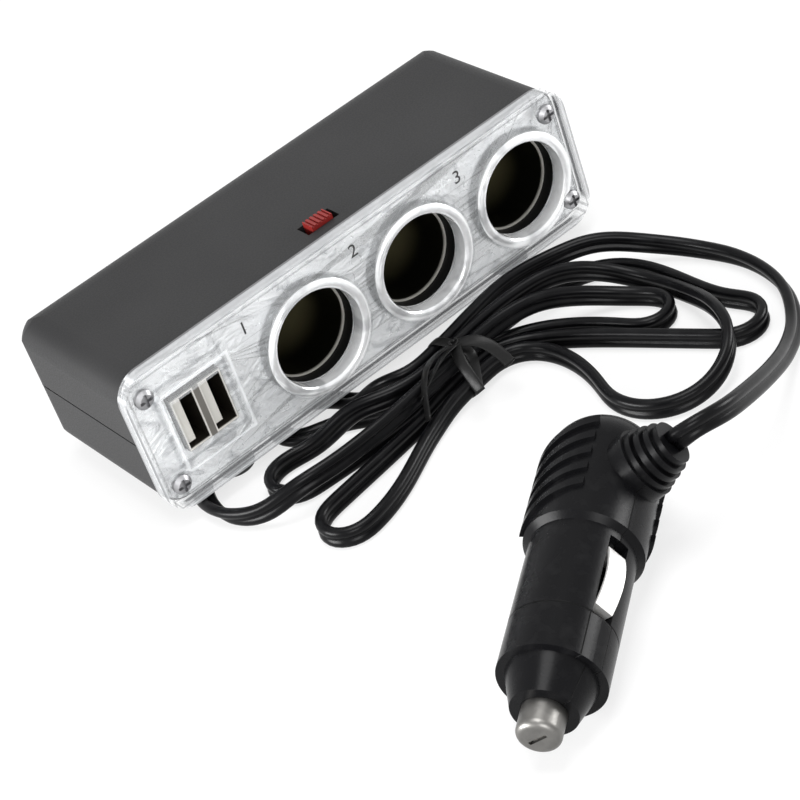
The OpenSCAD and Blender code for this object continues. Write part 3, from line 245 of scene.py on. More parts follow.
def casePlastic():
    # black moulded plastic with a fine spark-eroded grain
    look = {"base": (0.007, 0.007, 0.0075), "worn": (0.012, 0.012, 0.0125), "grain": (2600, 2),
            "grainFade": (0.35, 0.65), "patches": (25, 3), "wornFade": (0.3, 0.7), "rough": (0.44, 0.1, 0.05),
            "specular": 0.30, "bump": (0.00003, 0.6)}
    f = Finish("casePlastic")
    grain = f.noise(*look["grain"])
    patches = f.noise(*look["patches"])
    least, fromGrain, fromPatches = look["rough"]
    f.set(Base_Color=f.mix(patches.rise(*look["wornFade"]), look["base"], look["worn"]),
          Roughness=least + grain.rise(*look["grainFade"]) * fromGrain + patches * fromPatches,
          Specular_IOR_Level=look["specular"])
    f.bump(grain, *look["bump"])
    return f.material


def clearPlastic():
    # clear front plate, nearly invisible. Its polished collars are denser and nearly white, a painted highlight,
    # with grey swirls in them, a painted reflection (far is the distance from the nearest socket's axis). Its
    # rim (inset is the distance inwards from its edge) and the frame round the ports are denser too, painted
    # light of their rounded edges. A thin line runs round each collar and another inside the rim, whose back is
    # dark
    look = {"base": (0.88, 0.90, 0.91), "haze": (0.74, 0.76, 0.78), "line": (0.08, 0.08, 0.085),
            "rim": (0.40, 0.41, 0.42), "collar": (0.97, 0.98, 0.99), "ring": (0.30, 0.31, 0.32),
            "hazes": (170, 3, 1.5), "hazeFade": (0.4, 0.75), "swirls": (85, 2, 1.0), "swirlFade": (0.48, 0.66),
            "swirlShare": 0.55, "ringShare": 0.6, "lineShare": 0.8, "collarFade": (0.01345, 0.0131),
            "ringAt": 0.01352, "lineAt": 0.0014, "lineFade": (0.0003, 0.0001), "rimFade": (0.0010, 0.0005),
            "rimTint": (0.0007, 0.0003), "back": -0.0212, "backFade": (-0.0001, 0.0002),
            "backInset": (0.0004, 0.0002), "frameHalf": (0.0088, 0.0097), "frameFade": (0.0006, 0.0002),
            "alpha": 0.15, "collarAlpha": 0.45, "hazeAlpha": 0.35, "rimAlpha": 0.45, "ringAlpha": 0.2,
            "lineAlpha": 0.5, "frameAlpha": 0.45, "metal": 0.35, "rough": (0.05, 0.06), "specular": 0.8,
            "coat": 0.7, "bump": (0.00012, 0.5)}
    f = Finish("clearPlastic")
    x, y, z = f.axes()
    far = None
    for sx, sz in panel["sockets"]:
        r = ((x - sx) * (x - sx) + (z - sz) * (z - sz)) ** 0.5
        far = r if far is None else far.least(r)
    collar = far.rise(*look["collarFade"])
    ring = abs(far - look["ringAt"]).rise(*look["lineFade"])
    inset = (panel["half"][0] - abs(x)).least(panel["half"][1] - abs(z - panel["middle"]))
    # the denser rim and port frame are painted light of their rounded edges
    rim = inset.rise(*look["rimFade"])
    behind = (y - look["back"]).rise(*look["backFade"]) * inset.rise(*look["backInset"])
    line = (abs(inset - look["lineAt"]).rise(*look["lineFade"]) * look["lineShare"]).most(behind)
    aside = abs(x - panel["ports"][0]) - look["frameHalf"][0]
    above = abs(z - panel["ports"][1]) - look["frameHalf"][1]
    portFrame = abs(aside.most(above)).rise(*look["frameFade"])
    haze = f.noise(*look["hazes"])
    clear = f.mix(haze.rise(*look["hazeFade"]), look["base"], look["haze"])
    swirl = f.noise(*look["swirls"])
    # the collars: near-white, a painted highlight, with grey swirls, a painted reflection
    paintedCollarLight = f.mix(swirl.rise(*look["swirlFade"]) * look["swirlShare"], look["collar"], look["ring"])
    face = f.mix(collar, f.mix(inset.rise(*look["rimTint"]), clear, look["rim"]), paintedCollarLight)
    face = f.mix(ring * look["ringShare"], face, look["ring"])
    alpha = (collar * (look["collarAlpha"] + haze * look["hazeAlpha"]) + rim * look["rimAlpha"]
             + ring * look["ringAlpha"] + line * look["lineAlpha"] + portFrame * look["frameAlpha"]
             + look["alpha"])
    least, fromHaze = look["rough"]
    f.set(Base_Color=f.mix(line, face, look["line"]), Metallic=collar * look["metal"],
          Roughness=least + haze * fromHaze, Alpha=alpha.least(1.0), Specular_IOR_Level=look["specular"],
          Coat_Weight=look["coat"])
    f.bump(haze, *look["bump"])
    return f.material


def silverFoil():
    # silver plate behind the clear one, mottled like crumpled foil: darker in its folds and in broad patches,
    # painted shade
    look = {"base": (0.94, 0.95, 0.96), "dark": (0.46, 0.47, 0.49), "stretch": (0.55, 1.0, 1.0),
            "folds": (150, 3, 2.8), "foldFade": (0.50, 0.66), "paintedFoldShade": 0.6, "small": (480, 2, 1.2),
            "broad": (34, 2, 0.6), "broadFade": (0.5, 0.8), "paintedPatchShade": 0.25, "metal": 0.45,
            "rough": (0.2, 0.2), "heights": (0.9, 0.2, 0.5), "bump": (0.0011, 0.8)}
    f = Finish("silverFoil")
    folds = f.noise(*look["folds"], f.vectorMaths("MULTIPLY", f.place, look["stretch"]))
    small = f.noise(*look["small"])
    broad = f.noise(*look["broad"])
    # painted shade in the folds and in broad patches
    dark = (folds.rise(*look["foldFade"]) * look["paintedFoldShade"]
            + broad.rise(*look["broadFade"]) * look["paintedPatchShade"]).least(1.0)
    least, fromSmall = look["rough"]
    f.set(Base_Color=f.mix(dark, look["base"], look["dark"]), Metallic=look["metal"],
          Roughness=least + small * fromSmall)
    ofFolds, ofSmall, ofBroad = look["heights"]
    f.bump(folds * ofFolds + small * ofSmall + broad * ofBroad, *look["bump"])
    return f.material


def linerMetal():
    # plated steel cup: a bright rim, a painted highlight, a near-black wall that darkens towards its floor,
    # painted shade, and an olive brown patch low down inside it, a painted reflection
    look = {"rim": (0.78, 0.76, 0.70), "wall": (0.006, 0.006, 0.004), "deep": (0.003, 0.003, 0.002),
            "paintedReflection": (0.34, 0.31, 0.17), "rimAt": -0.0168, "rimFade": (-0.0002, 0.0004), "deepAt": -0.0145,
            "deepFade": (0, 0.02), "glowHeight": 0.0195, "heightFade": (0.002, -0.005), "glowAt": -0.010,
            "glowFade": (0, 0.012), "paintedReflectionShare": 0.6, "rings": (40, 2), "metal": 0.6, "rough": (0.30, 0.1),
            "specular": 0.2, "bump": (0.0001, 0.3)}
    f = Finish("linerMetal")
    x, y, z = f.axes()
    # painted highlight on the rim, painted shade on the wall and deeper down
    wall = f.mix((y - look["rimAt"]).rise(*look["rimFade"]), look["rim"], look["wall"])
    rings = f.noise(*look["rings"])
    wall = f.mix((y - look["deepAt"]).rise(*look["deepFade"]), wall, look["deep"])
    # painted olive brown reflection low down inside the cup
    paintedReflection = (z - look["glowHeight"]).rise(*look["heightFade"]) * (y - look["glowAt"]).rise(*look["glowFade"])
    least, fromRings = look["rough"]
    f.set(Base_Color=f.mix(paintedReflection * look["paintedReflectionShare"], wall, look["paintedReflection"]), Metallic=look["metal"],
          Roughness=least + rings * fromRings, Specular_IOR_Level=look["specular"])
    f.bump(rings, *look["bump"])
    return f.material


def polishedMetal(name, base=(0.74, 0.74, 0.75), rough=0.16):
    # plated and polished metal with faint handling marks
    look = {"marks": (420, 4, 0.6), "markFade": (0.35, 0.75), "markShade": 0.82, "markRough": 0.1,
            "bump": (0.00002, 0.5)}
    f = Finish(name)
    marks = f.noise(*look["marks"])
    dull = tuple(c * look["markShade"] for c in base)
    f.set(Base_Color=f.mix(marks.rise(*look["markFade"]), base, dull), Metallic=1.0,
          Roughness=rough + marks * look["markRough"])
    f.bump(marks, *look["bump"])
    return f.material


def portMetal():
    # shell of the two upright ports: bright edges round their mouths, a painted highlight, on a duller front,
    # and brown and dark inside, painted shade
    look = {"plate": (0.17, 0.16, 0.145), "edge": (0.72, 0.70, 0.66), "inside": (0.016, 0.013, 0.010),
            "front": -0.0225, "insideFade": (0.0001, 0.0005), "mouthAside": 0.0036,
            "mouthHalf": (0.00255, 0.00625), "edgeFade": (0.0004, 0.0002), "marks": (500, 3), "metal": 0.4,
            "rough": (0.3, 0.15), "bump": (0.00003, 0.5)}
    f = Finish("portMetal")
    x, y, z = f.axes()
    marks = f.noise(*look["marks"])
    # painted shade inside the shell
    inside = (y - look["front"]).rise(*look["insideFade"])
    side = abs(abs(x - panel["ports"][0]) - look["mouthAside"]) - look["mouthHalf"][0]
    # painted highlight on the edges round the mouths
    edge = side.most(abs(z - panel["ports"][1]) - look["mouthHalf"][1]).rise(*look["edgeFade"])
    front = f.mix(edge, look["plate"], look["edge"])
    least, fromMarks = look["rough"]
    f.set(Base_Color=f.mix(inside, front, look["inside"]), Metallic=look["metal"],
          Roughness=least + marks * fromMarks)
    f.bump(marks, *look["bump"])
    return f.material


def cordRubber():
    # black cord, slightly shiny, rubbed paler in places
    look = {"base": (0.0022, 0.0022, 0.0026), "rub": (0.005, 0.005, 0.0055), "rubs": (220, 3),
            "rubFade": (0.5, 0.75), "rough": (0.24, 0.12), "specular": 0.11, "bump": (0.00008, 0.6)}
    f = Finish("cordRubber")
    rubs = f.noise(*look["rubs"])
    least, fromRubs = look["rough"]
    f.set(Base_Color=f.mix(rubs.rise(*look["rubFade"]), look["base"], look["rub"]),
          Roughness=least + rubs * fromRubs, Specular_IOR_Level=look["specular"])
    f.bump(rubs, *look["bump"])
    return f.material


# frame of the plug: where its axis starts, the axis, the way to the contact and the way across the seam
plugFrame = {"start": (0.002, -0.0964, 0.01427), "axis": (-0.80728, -0.58652, -0.06547),
             "out": (0.48256, -0.71987, 0.49893), "across": (-0.33976, 0.37119, 0.86417)}


def plugPlastic(name, seamAt=0.0):
    # black moulded plug with a thin sunk line along its upper side, seamAt to each side of the middle plane,
    # and another round its collar
    look = {"base": (0.004, 0.004, 0.0045), "rub": (0.008, 0.008, 0.0085), "line": (0.001, 0.001, 0.001),
            "rubs": (300, 3), "rubFade": (0.5, 0.8), "grain": (1800, 2), "seamFade": (0.00014, 0.000056),
            "upperFade": (0.001, 0.002), "collarAt": 0.0525, "collarFade": (0.00028, 0.0001),
            "rough": (0.22, 0.1, 0.3), "specular": 0.08, "heights": (0.12, 0.12, 1.0), "bump": (0.00016, 0.6)}
    f = Finish(name)
    rubs = f.noise(*look["rubs"])
    grain = f.noise(*look["grain"])
    off = f.vectorMaths("SUBTRACT", f.place, plugFrame["start"])
    across, out, along = (f.vectorMaths("DOT_PRODUCT", off, plugFrame[way], 1)
                          for way in ("across", "out", "axis"))
    line = abs(abs(across) - seamAt).rise(*look["seamFade"]) * out.rise(*look["upperFade"])
    line = line.most(abs(along - look["collarAt"]).rise(*look["collarFade"]))
    least, fromRubs, fromLine = look["rough"]
    f.set(Base_Color=f.mix(line, f.mix(rubs.rise(*look["rubFade"]), look["base"], look["rub"]), look["line"]),
          Roughness=least + rubs * fromRubs + line * fromLine, Specular_IOR_Level=look["specular"])
    ofGrain, ofRubs, ofLine = look["heights"]
    f.bump(grain * ofGrain + rubs * ofRubs - line * ofLine, *look["bump"])
    return f.material


def fuseGlass():
    # clear glass of the fuse, a little smeared
    look = {"base": (0.9, 0.94, 0.95), "smears": (300, 2), "rough": (0.05, 0.05), "alpha": (0.3, 0.05)}
    f = Finish("fuseGlass")
    smear = f.noise(*look["smears"])
    f.set(Base_Color=look["base"], Roughness=look["rough"][0] + smear * look["rough"][1],
          Alpha=look["alpha"][0] + smear * look["alpha"][1])
    return f.material


caseLook = casePlastic()
cordLook = cordRubber()
plugLook = plugPlastic("plugPlastic")
collarLook = plugPlastic("collarPlastic", 0.0026)
steelLook = polishedMetal("polishedSteel")
screwLook = polishedMetal("screwSteel", (0.36, 0.36, 0.37), 0.36)
tipLook = polishedMetal("tipSteel", (0.17, 0.166, 0.158), 0.36)
brassLook = polishedMetal("contactBrass", (0.75, 0.58, 0.28), 0.28)
copperLook = polishedMetal("stripCopper", (0.70, 0.42, 0.25), 0.3)
portLook = portMetal()
linerLook = linerMetal()
leafLook = plainFinish("leafSteel", (0.97, 0.96, 0.94), (0.90, 0.89, 0.87), 0.36, metal=0.7, grain=600)
redLook = plainFinish("knobRed", (0.18, 0.014, 0.012), (0.13, 0.010, 0.009), 0.36, grain=1500, specular=0.3)
whiteLook = plainFinish("whitePlastic", (0.62, 0.61, 0.57), (0.54, 0.53, 0.49), 0.4, grain=1500)
blackLook = plainFinish("housingPlastic", (0.003, 0.003, 0.003), (0.005, 0.005, 0.005), 0.55, grain=1400,
                        specular=0.08)
rubberLook = plainFinish("footRubber", (0.02, 0.02, 0.02), (0.03, 0.03, 0.03), 0.7, grain=1100)
boardLook = plainFinish("boardGreen", (0.02, 0.14, 0.06), (0.03, 0.10, 0.05), 0.35, grain=700)
coilLook = plainFinish("coilCopper", (0.45, 0.2, 0.08), (0.3, 0.13, 0.05), 0.35, metal=0.8)
canLook = plainFinish("capacitorBlue", (0.02, 0.03, 0.12), (0.03, 0.04, 0.16), 0.3)
wireRedLook = plainFinish("wireRed", (0.4, 0.015, 0.015), (0.3, 0.01, 0.01), 0.4)
wireBlackLook = plainFinish("wireBlack", (0.015, 0.015, 0.015), (0.02, 0.02, 0.02), 0.4)
wireYellowLook = plainFinish("wireYellow", (0.6, 0.4, 0.03), (0.5, 0.33, 0.03), 0.4)
tieLook = plainFinish("tiePlastic", (0.004, 0.004, 0.004), (0.007, 0.007, 0.007), 0.36, specular=0.12)
inkLook = plainFinish("panelInk", (0.02, 0.02, 0.02), (0.03, 0.03, 0.03), 0.5, grain=1200)

nodeLooks = {
    "shell_top": caseLook, "shell_bottom": caseLook, "clear_cover": clearPlastic(),
    "backing_plate": silverFoil(), "cover_screws": screwLook, "case_screws": screwLook, "feet": rubberLook,
    "socket_housing_left": blackLook, "socket_housing_middle": blackLook, "socket_housing_right": blackLook,
    "socket_liner_left": linerLook, "socket_liner_middle": linerLook, "socket_liner_right": linerLook,
    "centre_contacts": brassLook, "bus_positive": copperLook, "bus_ground": copperLook,
    "port_shell": portLook, "port_tongues": whiteLook, "port_pins": brassLook, "circuit_board": boardLook,
    "board_coil": coilLook, "board_capacitors": canLook, "board_chip": blackLook, "switch_body": blackLook,
    "switch_knob": redLook, "switch_pins": steelLook, "wire_positive": wireRedLook,
    "wire_negative": wireBlackLook, "wires_board": wireRedLook, "wires_switch": wireYellowLook,
    "case_boot": cordLook, "plug_half_left": plugLook, "plug_half_right": plugLook, "plug_boot": cordLook,
    "plug_collar": collarLook, "plug_nose": plugLook, "plug_tip": tipLook, "tip_spring": screwLook,
    "fuse_tube": fuseGlass(), "fuse_caps": steelLook, "fuse_terminal": brassLook,
    "side_contact_upper": leafLook, "side_contact_lower": leafLook, "plug_wires": wireBlackLook,
    "cord_lead": cordLook, "cord_hank": cordLook, "cord_tail": cordLook, "cord_tie": cordLook}
for name, look in nodeLooks.items():
    nodes[name].data.materials.clear()
    nodes[name].data.materials.append(look)
print("finishes made for", len(nodeLooks), "nodes")


# flat twin cord, in mm and degrees. The runs of the hank pass its waist in slots, each a place across and a
# layer. A fold is the slots it leaves and comes back to, the side of the waist, the centre, radius, heading and
# way round of its bend, its lean, the handles of its two curves as shares of their chords, the shares of its run
# between which it comes down and goes up again, and a hump: where, how high and how long. A place on the lead or
# the tail is x, y, lift of the underside and lean: 0 stands on edge, 90 lies flat
cord = {
    "width": 4.8, "thick": 2.4, "groove": 0.55, "coreTurn": 132, "coreSteps": 11,
    "step": 1.3, "foldSteps": 48, "freeSteps": 12, "leastStep": 0.05, "smooth": (1, 2, 3, 4, 3, 2, 1),
    "waist": (4, -41), "waistAngle": 10, "waistHalf": 5, "waistLift": 0.9, "pitch": 3, "layer": 5.4,
    "leanShare": 0.3,
    "slots": {"A": (1.5, 0), "B": (-0.5, 0), "C": (-0.5, 1), "D": (0.5, 0), "E": (0.5, 1), "F": (-1.5, 0),
              "G": (1.5, 1)},
    "folds": [
        ("C", "D", 1, (41.5, -60.5), 5.5, -69, -1, 0, (0.4, 0.32, 0.39, 0.37), (0.14, 0.4, 0.9, 1),
         (0.5, 0, 1)),
        ("D", "E", -1, (-36, -34), 6, 176, -1, 0, (0.35, 0.4, 0.4, 0.4), (0, 0.1, 0.66, 0.82), (0.5, 0, 1)),
        ("E", "F", 1, (31, -77.7), 14, -113.2, -1, 0, (0.65, 0.68, 0.55, 0.46), (0.15, 0.31, 0.9, 1),
         (0.49, 5.6, 0.1)),
        ("F", "B", -1, (-38, -55), 6, 188, -1, 0, (0.4, 0.4, 0.4, 0.4), (0, 0.1, 0.9, 1), (0.5, 0, 1)),
        ("B", "A", 1, (49.3, -79), 6.5, -61.1, 1, 0, (0.25, 0.66, 0.26, 1), (0, 0.1, 0.9, 1), (0.5, 0, 1)),
        ("A", "G", -1, (-23, -18.5), 6, 165, -1, 90, (0.4, 0.4, 0.4, 0.4), (0, 0.1, 0.74, 0.92),
         (0.5, 0, 1))],
    "lead": [(-6, 34, 15.3, 90), (-6, 39, 15.3, 90), (-8, 48, 12, 90), (-15, 53, 4, 90), (-23, 49, 0.4, 90),
             (-28, 38, 0, 90), (-30, 26, 0, 90), (-32, 14, 0, 90), (-37, 2, 0, 90), (-44, -8, 0, 90),
             (-50, -17, 0, 80), (-52.5, -24.5, 0, 50), (-52, -32, 0.1, 20), (-48, -39, 1.5, 0),
             (-40.5, -44, 5.4, 0), (-31, -45.5, 5.8, 0), (-18, -45.5, 6.2, 0)],
    "tail": [(17, -33.5, 6.3, 0), (28, -31.5, 6, 0), (39, -33, 5.6, 0), (49, -38, 5.6, 0), (58, -46, 2, 0),
             (64, -57, 0, 10), (65.5, -69, 0, 20), (62.5, -81, 0, 20), (55, -91, 0.1, 20),
             (45, -99.5, 3.4, 10), (33.5, -108, 9.6, 0), (21, -116, 16.6, 0), (11, -121, 21.6, 0)]}
# plug, in mm and degrees: the place and height of its domed end, how it is turned, and its boot, which starts
# bootS along the axis, leans bootTilt off it and is bootEnd long; the cord's last stretch before it is straight
plug = {"pos": (2, -96.4), "rise": 14.269576, "heading": 216, "roll": 30, "dip": 3.753454,
        "bootS": 17.5, "bootTilt": 78, "bootEnd": 19.4, "straight": 5}


def turned(p, axis, angle):
    # points turned about z (axis 2) or y (axis 1)
    c, s = np.cos(radians(angle)), np.sin(radians(angle))
    if axis == 2:
        m = np.array([[c, -s, 0], [s, c, 0], [0, 0, 1]])
    else:
        m = np.array([[c, 0, s], [0, 1, 0], [-s, 0, c]])
    return np.asarray(p, float) @ m.T


def onPlug(p):
    # direction in the plug's own frame (z along its axis from the domed end) as one of the whole
    return turned(turned(turned(p, 2, 90 + plug["roll"]), 1, 90 + plug["dip"]), 2, plug["heading"])


def plugPlace(p):
    # place in the plug's own frame as one of the whole
    return onPlug(p) + np.array([plug["pos"][0], plug["pos"][1], plug["rise"]])


tilt, reach = radians(plug["bootTilt"]), plug["bootEnd"]
bootAxis = onPlug([np.sin(tilt), 0, -np.cos(tilt)])
bootMouth = plugPlace([reach * np.sin(tilt), 0, plug["bootS"] - reach * np.cos(tilt)])


def ramp(x):
    # smooth step: x x (3 - 2 x), 0 before 0 and 1 after 1
    c = np.clip(x, 0, 1)
    return c * c * (3 - 2 * c)


def halfHeight(lean):
    # half the height of a leaning section, an ellipse: the root of (width / 2 cos)^2 + (thick / 2 sin)^2
    a = np.radians(lean)
    return np.hypot(cord["width"] / 2 * np.cos(a), cord["thick"] / 2 * np.sin(a))


waistAlong = np.array([np.cos(radians(cord["waistAngle"])), np.sin(radians(cord["waistAngle"]))])
waistAcross = np.array([-waistAlong[1], waistAlong[0]])


def slotPoint(key, side):
    # where a run of the hank leaves the waist: x, y and lift
    across, layer = cord["slots"][key]
    p = np.array(cord["waist"]) + side * cord["waistHalf"] * waistAlong + across * cord["pitch"] * waistAcross
    return np.array([p[0], p[1], cord["waistLift"] + layer * cord["layer"]])


def cubicCurve(p0, d0, p1, d1, a, b, t):
    # cubic curve from p0 along d0 to p1 along d1, its handles as shares of the chord
    chord = np.linalg.norm(p1 - p0)
    q0, q1, s, t = p0 + d0 * chord * a, p1 - d1 * chord * b, 1 - t[:, None], t[:, None]
    return s**3 * p0 + 3 * s * s * t * q0 + 3 * s * t * t * q1 + t**3 * p1


def foldPoints(fold, count):
    # one fold: a curve out, half a circle and a curve back; its lift comes down and goes up again
    key0, key1, side, centre, r, heading, turn, lean, handles, lift, hump = fold
    w0, w1 = slotPoint(key0, side), slotPoint(key1, side)
    d = np.array([np.cos(radians(heading)), np.sin(radians(heading))])
    n = -turn * np.array([-d[1], d[0]])
    centre = np.array(centre, float)
    t = np.linspace(0, 1, count)
    a = t[1:-1, None] * np.pi
    flat = np.vstack([
        cubicCurve(w0[:2], side * waistAlong, centre + r * n, d, handles[0], handles[1], t),
        centre + r * (np.cos(a) * n + np.sin(a) * d),
        cubicCurve(centre - r * n, -d, w1[:2], -side * waistAlong, handles[2], handles[3], t)])
    run = runAlong(flat)
    q = run / run[-1]
    height = (w0[2] * (1 - ramp((q - lift[0]) / (lift[1] - lift[0])))
              + w1[2] * ramp((q - lift[2]) / (lift[3] - lift[2]))
              + hump[1] * np.exp(-((q - hump[0]) / hump[2])**2))
    leans = lean * ramp(q / cord["leanShare"]) * ramp((1 - q) / cord["leanShare"])
    return np.column_stack([flat, np.maximum(height, 0) + halfHeight(leans), leans])


def stretchPoints(places, count):
    # smooth curve through the places of a free stretch: between two of them the cubic that passes both and
    # whose slope at each is half the step between its two neighbours
    p = np.array(places, float)
    i = np.arange(len(p) - 1)
    p0, p1, p2, p3 = p[np.maximum(i - 1, 0)], p[i], p[i + 1], p[np.minimum(i + 2, len(p) - 1)]
    t = np.linspace(0, 1, count, endpoint=False)[None, :, None]
    p0, p1, p2, p3 = (x[:, None] for x in (p0, p1, p2, p3))
    q = (2 * p1 + (p2 - p0) * t + (2 * p0 - 5 * p1 + 4 * p2 - p3) * t * t
         + (3 * p1 - 3 * p2 + p3 - p0) * t**3) / 2
    q = np.vstack([q.reshape(-1, 4), p[-1:]])
    q[:, 2] = np.maximum(q[:, 2], 0) + halfHeight(q[:, 3])
    return q


def evenSteps(points):
    # the same line with its points at even distances
    run = runAlong(points[:, :3])
    even = np.linspace(0, run[-1], int(run[-1] / cord["step"]) + 1)
    return np.column_stack([np.interp(even, run, points[:, i]) for i in range(4)])


def smoothed(points):
    # each point as the weighted mean of its neighbours, the line reflected through its ends to carry it on
    weights = np.array(cord["smooth"]) / sum(cord["smooth"])
    extra = len(weights) // 2
    before = 2 * points[:1] - points[extra:0:-1]
    after = 2 * points[-1:] - points[-2:-2 - extra:-1]
    longer = np.vstack([before, points, after])
    return np.column_stack([np.convolve(longer[:, i], weights, "valid") for i in range(4)])


def cordRoute():
    # the whole cord from the case's boot to the plug's at even steps: x, y, height of its middle and lean
    into, out = slotPoint("C", -1), slotPoint("G", 1)
    ends = [bootMouth + plug["straight"] * bootAxis, bootMouth]
    tailEnds = [(*e[:2], e[2] - halfHeight(0), 0) for e in ends]
    whole = np.vstack([stretchPoints(cord["lead"] + [(*into, 0)], cord["freeSteps"])]
                      + [foldPoints(fold, cord["foldSteps"]) for fold in cord["folds"]]
                      + [stretchPoints([(*out, 0)] + cord["tail"] + tailEnds, cord["freeSteps"])])
    apart = np.linalg.norm(np.diff(whole[:, :3], axis=0), axis=1)
    whole = whole[np.concatenate([[True], apart > cord["leastStep"]])]
    return evenSteps(smoothed(evenSteps(whole)))


def cordProfile():
    # two round cores side by side with a web between them: along the width, then along the thickness
    r = cord["thick"] / 2
    a = np.radians(np.linspace(-cord["coreTurn"], cord["coreTurn"], cord["coreSteps"]))
    right = np.column_stack([cord["width"] / 2 - r + r * np.cos(a), r * np.sin(a)])
    web = np.array([[0, cord["groove"]]])
    return np.vstack([right, web, -right, -web])


def sweepCord(points, profile):
    # the profile carried along the route, square to it: its width is up cos lean + aside sin lean, and its
    # thickness aside cos lean - up sin lean. It leaves the case straight back and ends along the plug's boot
    d = unit(np.gradient(points[:, :3], axis=0))
    d[0], d[-1] = (0, 1, 0), -bootAxis
    aside = unit(np.cross(d, [0, 0, 1.0]))
    up = np.cross(aside, d)
    lean = np.radians(points[:, 3])[:, None]
    high = up * np.cos(lean) + aside * np.sin(lean)
    wide = aside * np.cos(lean) - up * np.sin(lean)
    rings = points[:, None, :3] + profile[None, :, :1] * high[:, None] + profile[None, :, 1:] * wide[:, None]
    rings[..., 2] -= np.minimum(rings[..., 2].min(1), 0)[:, None]  # a ring that dips into the floor is lifted
    return rings


route = cordRoute()
rings = sweepCord(route, cordProfile())
along, around = np.meshgrid(*(np.linspace(0, 1, n) for n in rings.shape[:2]), indexing="ij")  # 0 to 1 each way
cordUv = np.vstack([np.column_stack([along.ravel(), around.ravel()]), [[0, 0.5], [1, 0.5]]])
cordPiece = addPiece("flatCord", [tubeMesh(rings * mm)], cordLook, "case", cordUv)
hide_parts("cord_lead", "cord_hank", "cord_tail")


# tie round the folds, in mm: a band round the waist, a knot of two strips that wind round each other, and four
# ends, each where it points to, how far it bends aside and how high it arches
tie = {"half": 6.2, "low": 0.4, "high": 11.6, "square": 4.5, "slant": 1.2, "bandSteps": 73, "steps": 25,
       "width": 2.7, "thick": 0.5, "knotAcross": -2.4, "knotHalfTurns": 2.2, "knotRadius": 0.9,
       "knotRise": (0.1, 1.8), "knotWidth": 1.5, "endsRise": 1.4, "endTurn": (0.2, 0.8),
       "ends": [((9.5, -54.5, 8.8), 1.2, 2.2), ((0.6, -54.5, 7.6), -0.8, 2.0),
                ((-11.0, -50.5, 6.6), -2.6, 3.2), ((-9.0, -46.5, 8.6), 1.0, 2.6)]}


def stripMesh(path, across, thick, width, edge=0.6, sides=12):
    # rings of a strip or wire along a path: width / 2 |cos a|^edge, with the sign of cos a, along across, and
    # thick / 2 sin a square to it. An edge of 1 is round, a smaller one squarer
    d = unit(np.gradient(path, axis=0))
    across = unit(across - (across * d).sum(-1, keepdims=True) * d)
    normal = np.cross(d, across)
    a = np.linspace(0, 2 * np.pi, sides, endpoint=False)[None, :, None]
    c, s = np.cos(a), np.sin(a)
    wide = np.sign(c) * abs(c)**edge * width / 2 * across[:, None]
    return path[:, None] + wide + s * thick / 2 * normal[:, None]


def tieParts():
    # the band, the two strips of the knot and the four ends, each a closed strip
    along3, across3, up = np.array([*waistAlong, 0]), np.array([*waistAcross, 0]), np.array([0, 0, 1])
    centre = np.array([*cord["waist"], 0.0])
    # the band: cos a and sin a over the nth root of |cos a|^n + |sin a|^n, a rectangle with round corners
    a = np.linspace(0, 2 * np.pi, tie["bandSteps"])
    n = tie["square"]
    ring = (np.abs(np.cos(a))**n + np.abs(np.sin(a))**n)**(-1 / n)
    u = tie["half"] * ring * np.cos(a)
    v = (tie["high"] + tie["low"]) / 2 + (tie["high"] - tie["low"]) / 2 * ring * np.sin(a)
    slant = tie["slant"] * np.sin(a)
    band = centre + u[:, None] * across3 + v[:, None] * up + slant[:, None] * along3
    bandAcross = np.broadcast_to(along3, band.shape).copy()
    parts = [tubeMesh(stripMesh(band, bandAcross, tie["thick"], tie["width"]) * mm)]
    # the knot: two helices, half a turn apart
    t = np.linspace(0, 1, tie["steps"])
    knot = centre + tie["knotAcross"] * across3 + tie["high"] * up
    r, (low, rise) = tie["knotRadius"], tie["knotRise"]
    twist = np.linspace(0, tie["knotHalfTurns"] * np.pi, tie["steps"])
    for k in (0, np.pi):
        helix = knot + np.column_stack([r * np.cos(twist + k), r * np.sin(twist + k), low + rise * t])
        side = np.column_stack([-np.sin(twist + k), np.cos(twist + k), 0 * t])
        parts.append(tubeMesh(stripMesh(helix, side, tie["thick"], tie["knotWidth"]) * mm))
    # the ends: a straight way out, plus half a sine of bend and arch; the strip turns up on edge along it
    top = knot + tie["endsRise"] * up
    for target, bend, arch in tie["ends"]:
        way = np.array(target) - top
        n = unit(np.array([-way[1], way[0], 0]))
        path = top + t[:, None] * way + np.sin(np.pi * t)[:, None] * (bend * n + arch * up)
        turn = tie["endTurn"][0] + t[:, None] * tie["endTurn"][1]
        side = n * np.cos(turn) + up * np.sin(turn)
        parts.append(tubeMesh(stripMesh(path, side, tie["thick"], tie["width"]) * mm))
    return parts


tiePiece = addPiece("twistTie", tieParts(), tieLook, "case")
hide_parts("cord_tie")
print("tie made")


# spring behind the fuse, in metres; push is how far the tip goes in
spring = {"turns": 6, "wire": 0.0008, "push": 0.0025, "steps": 24}


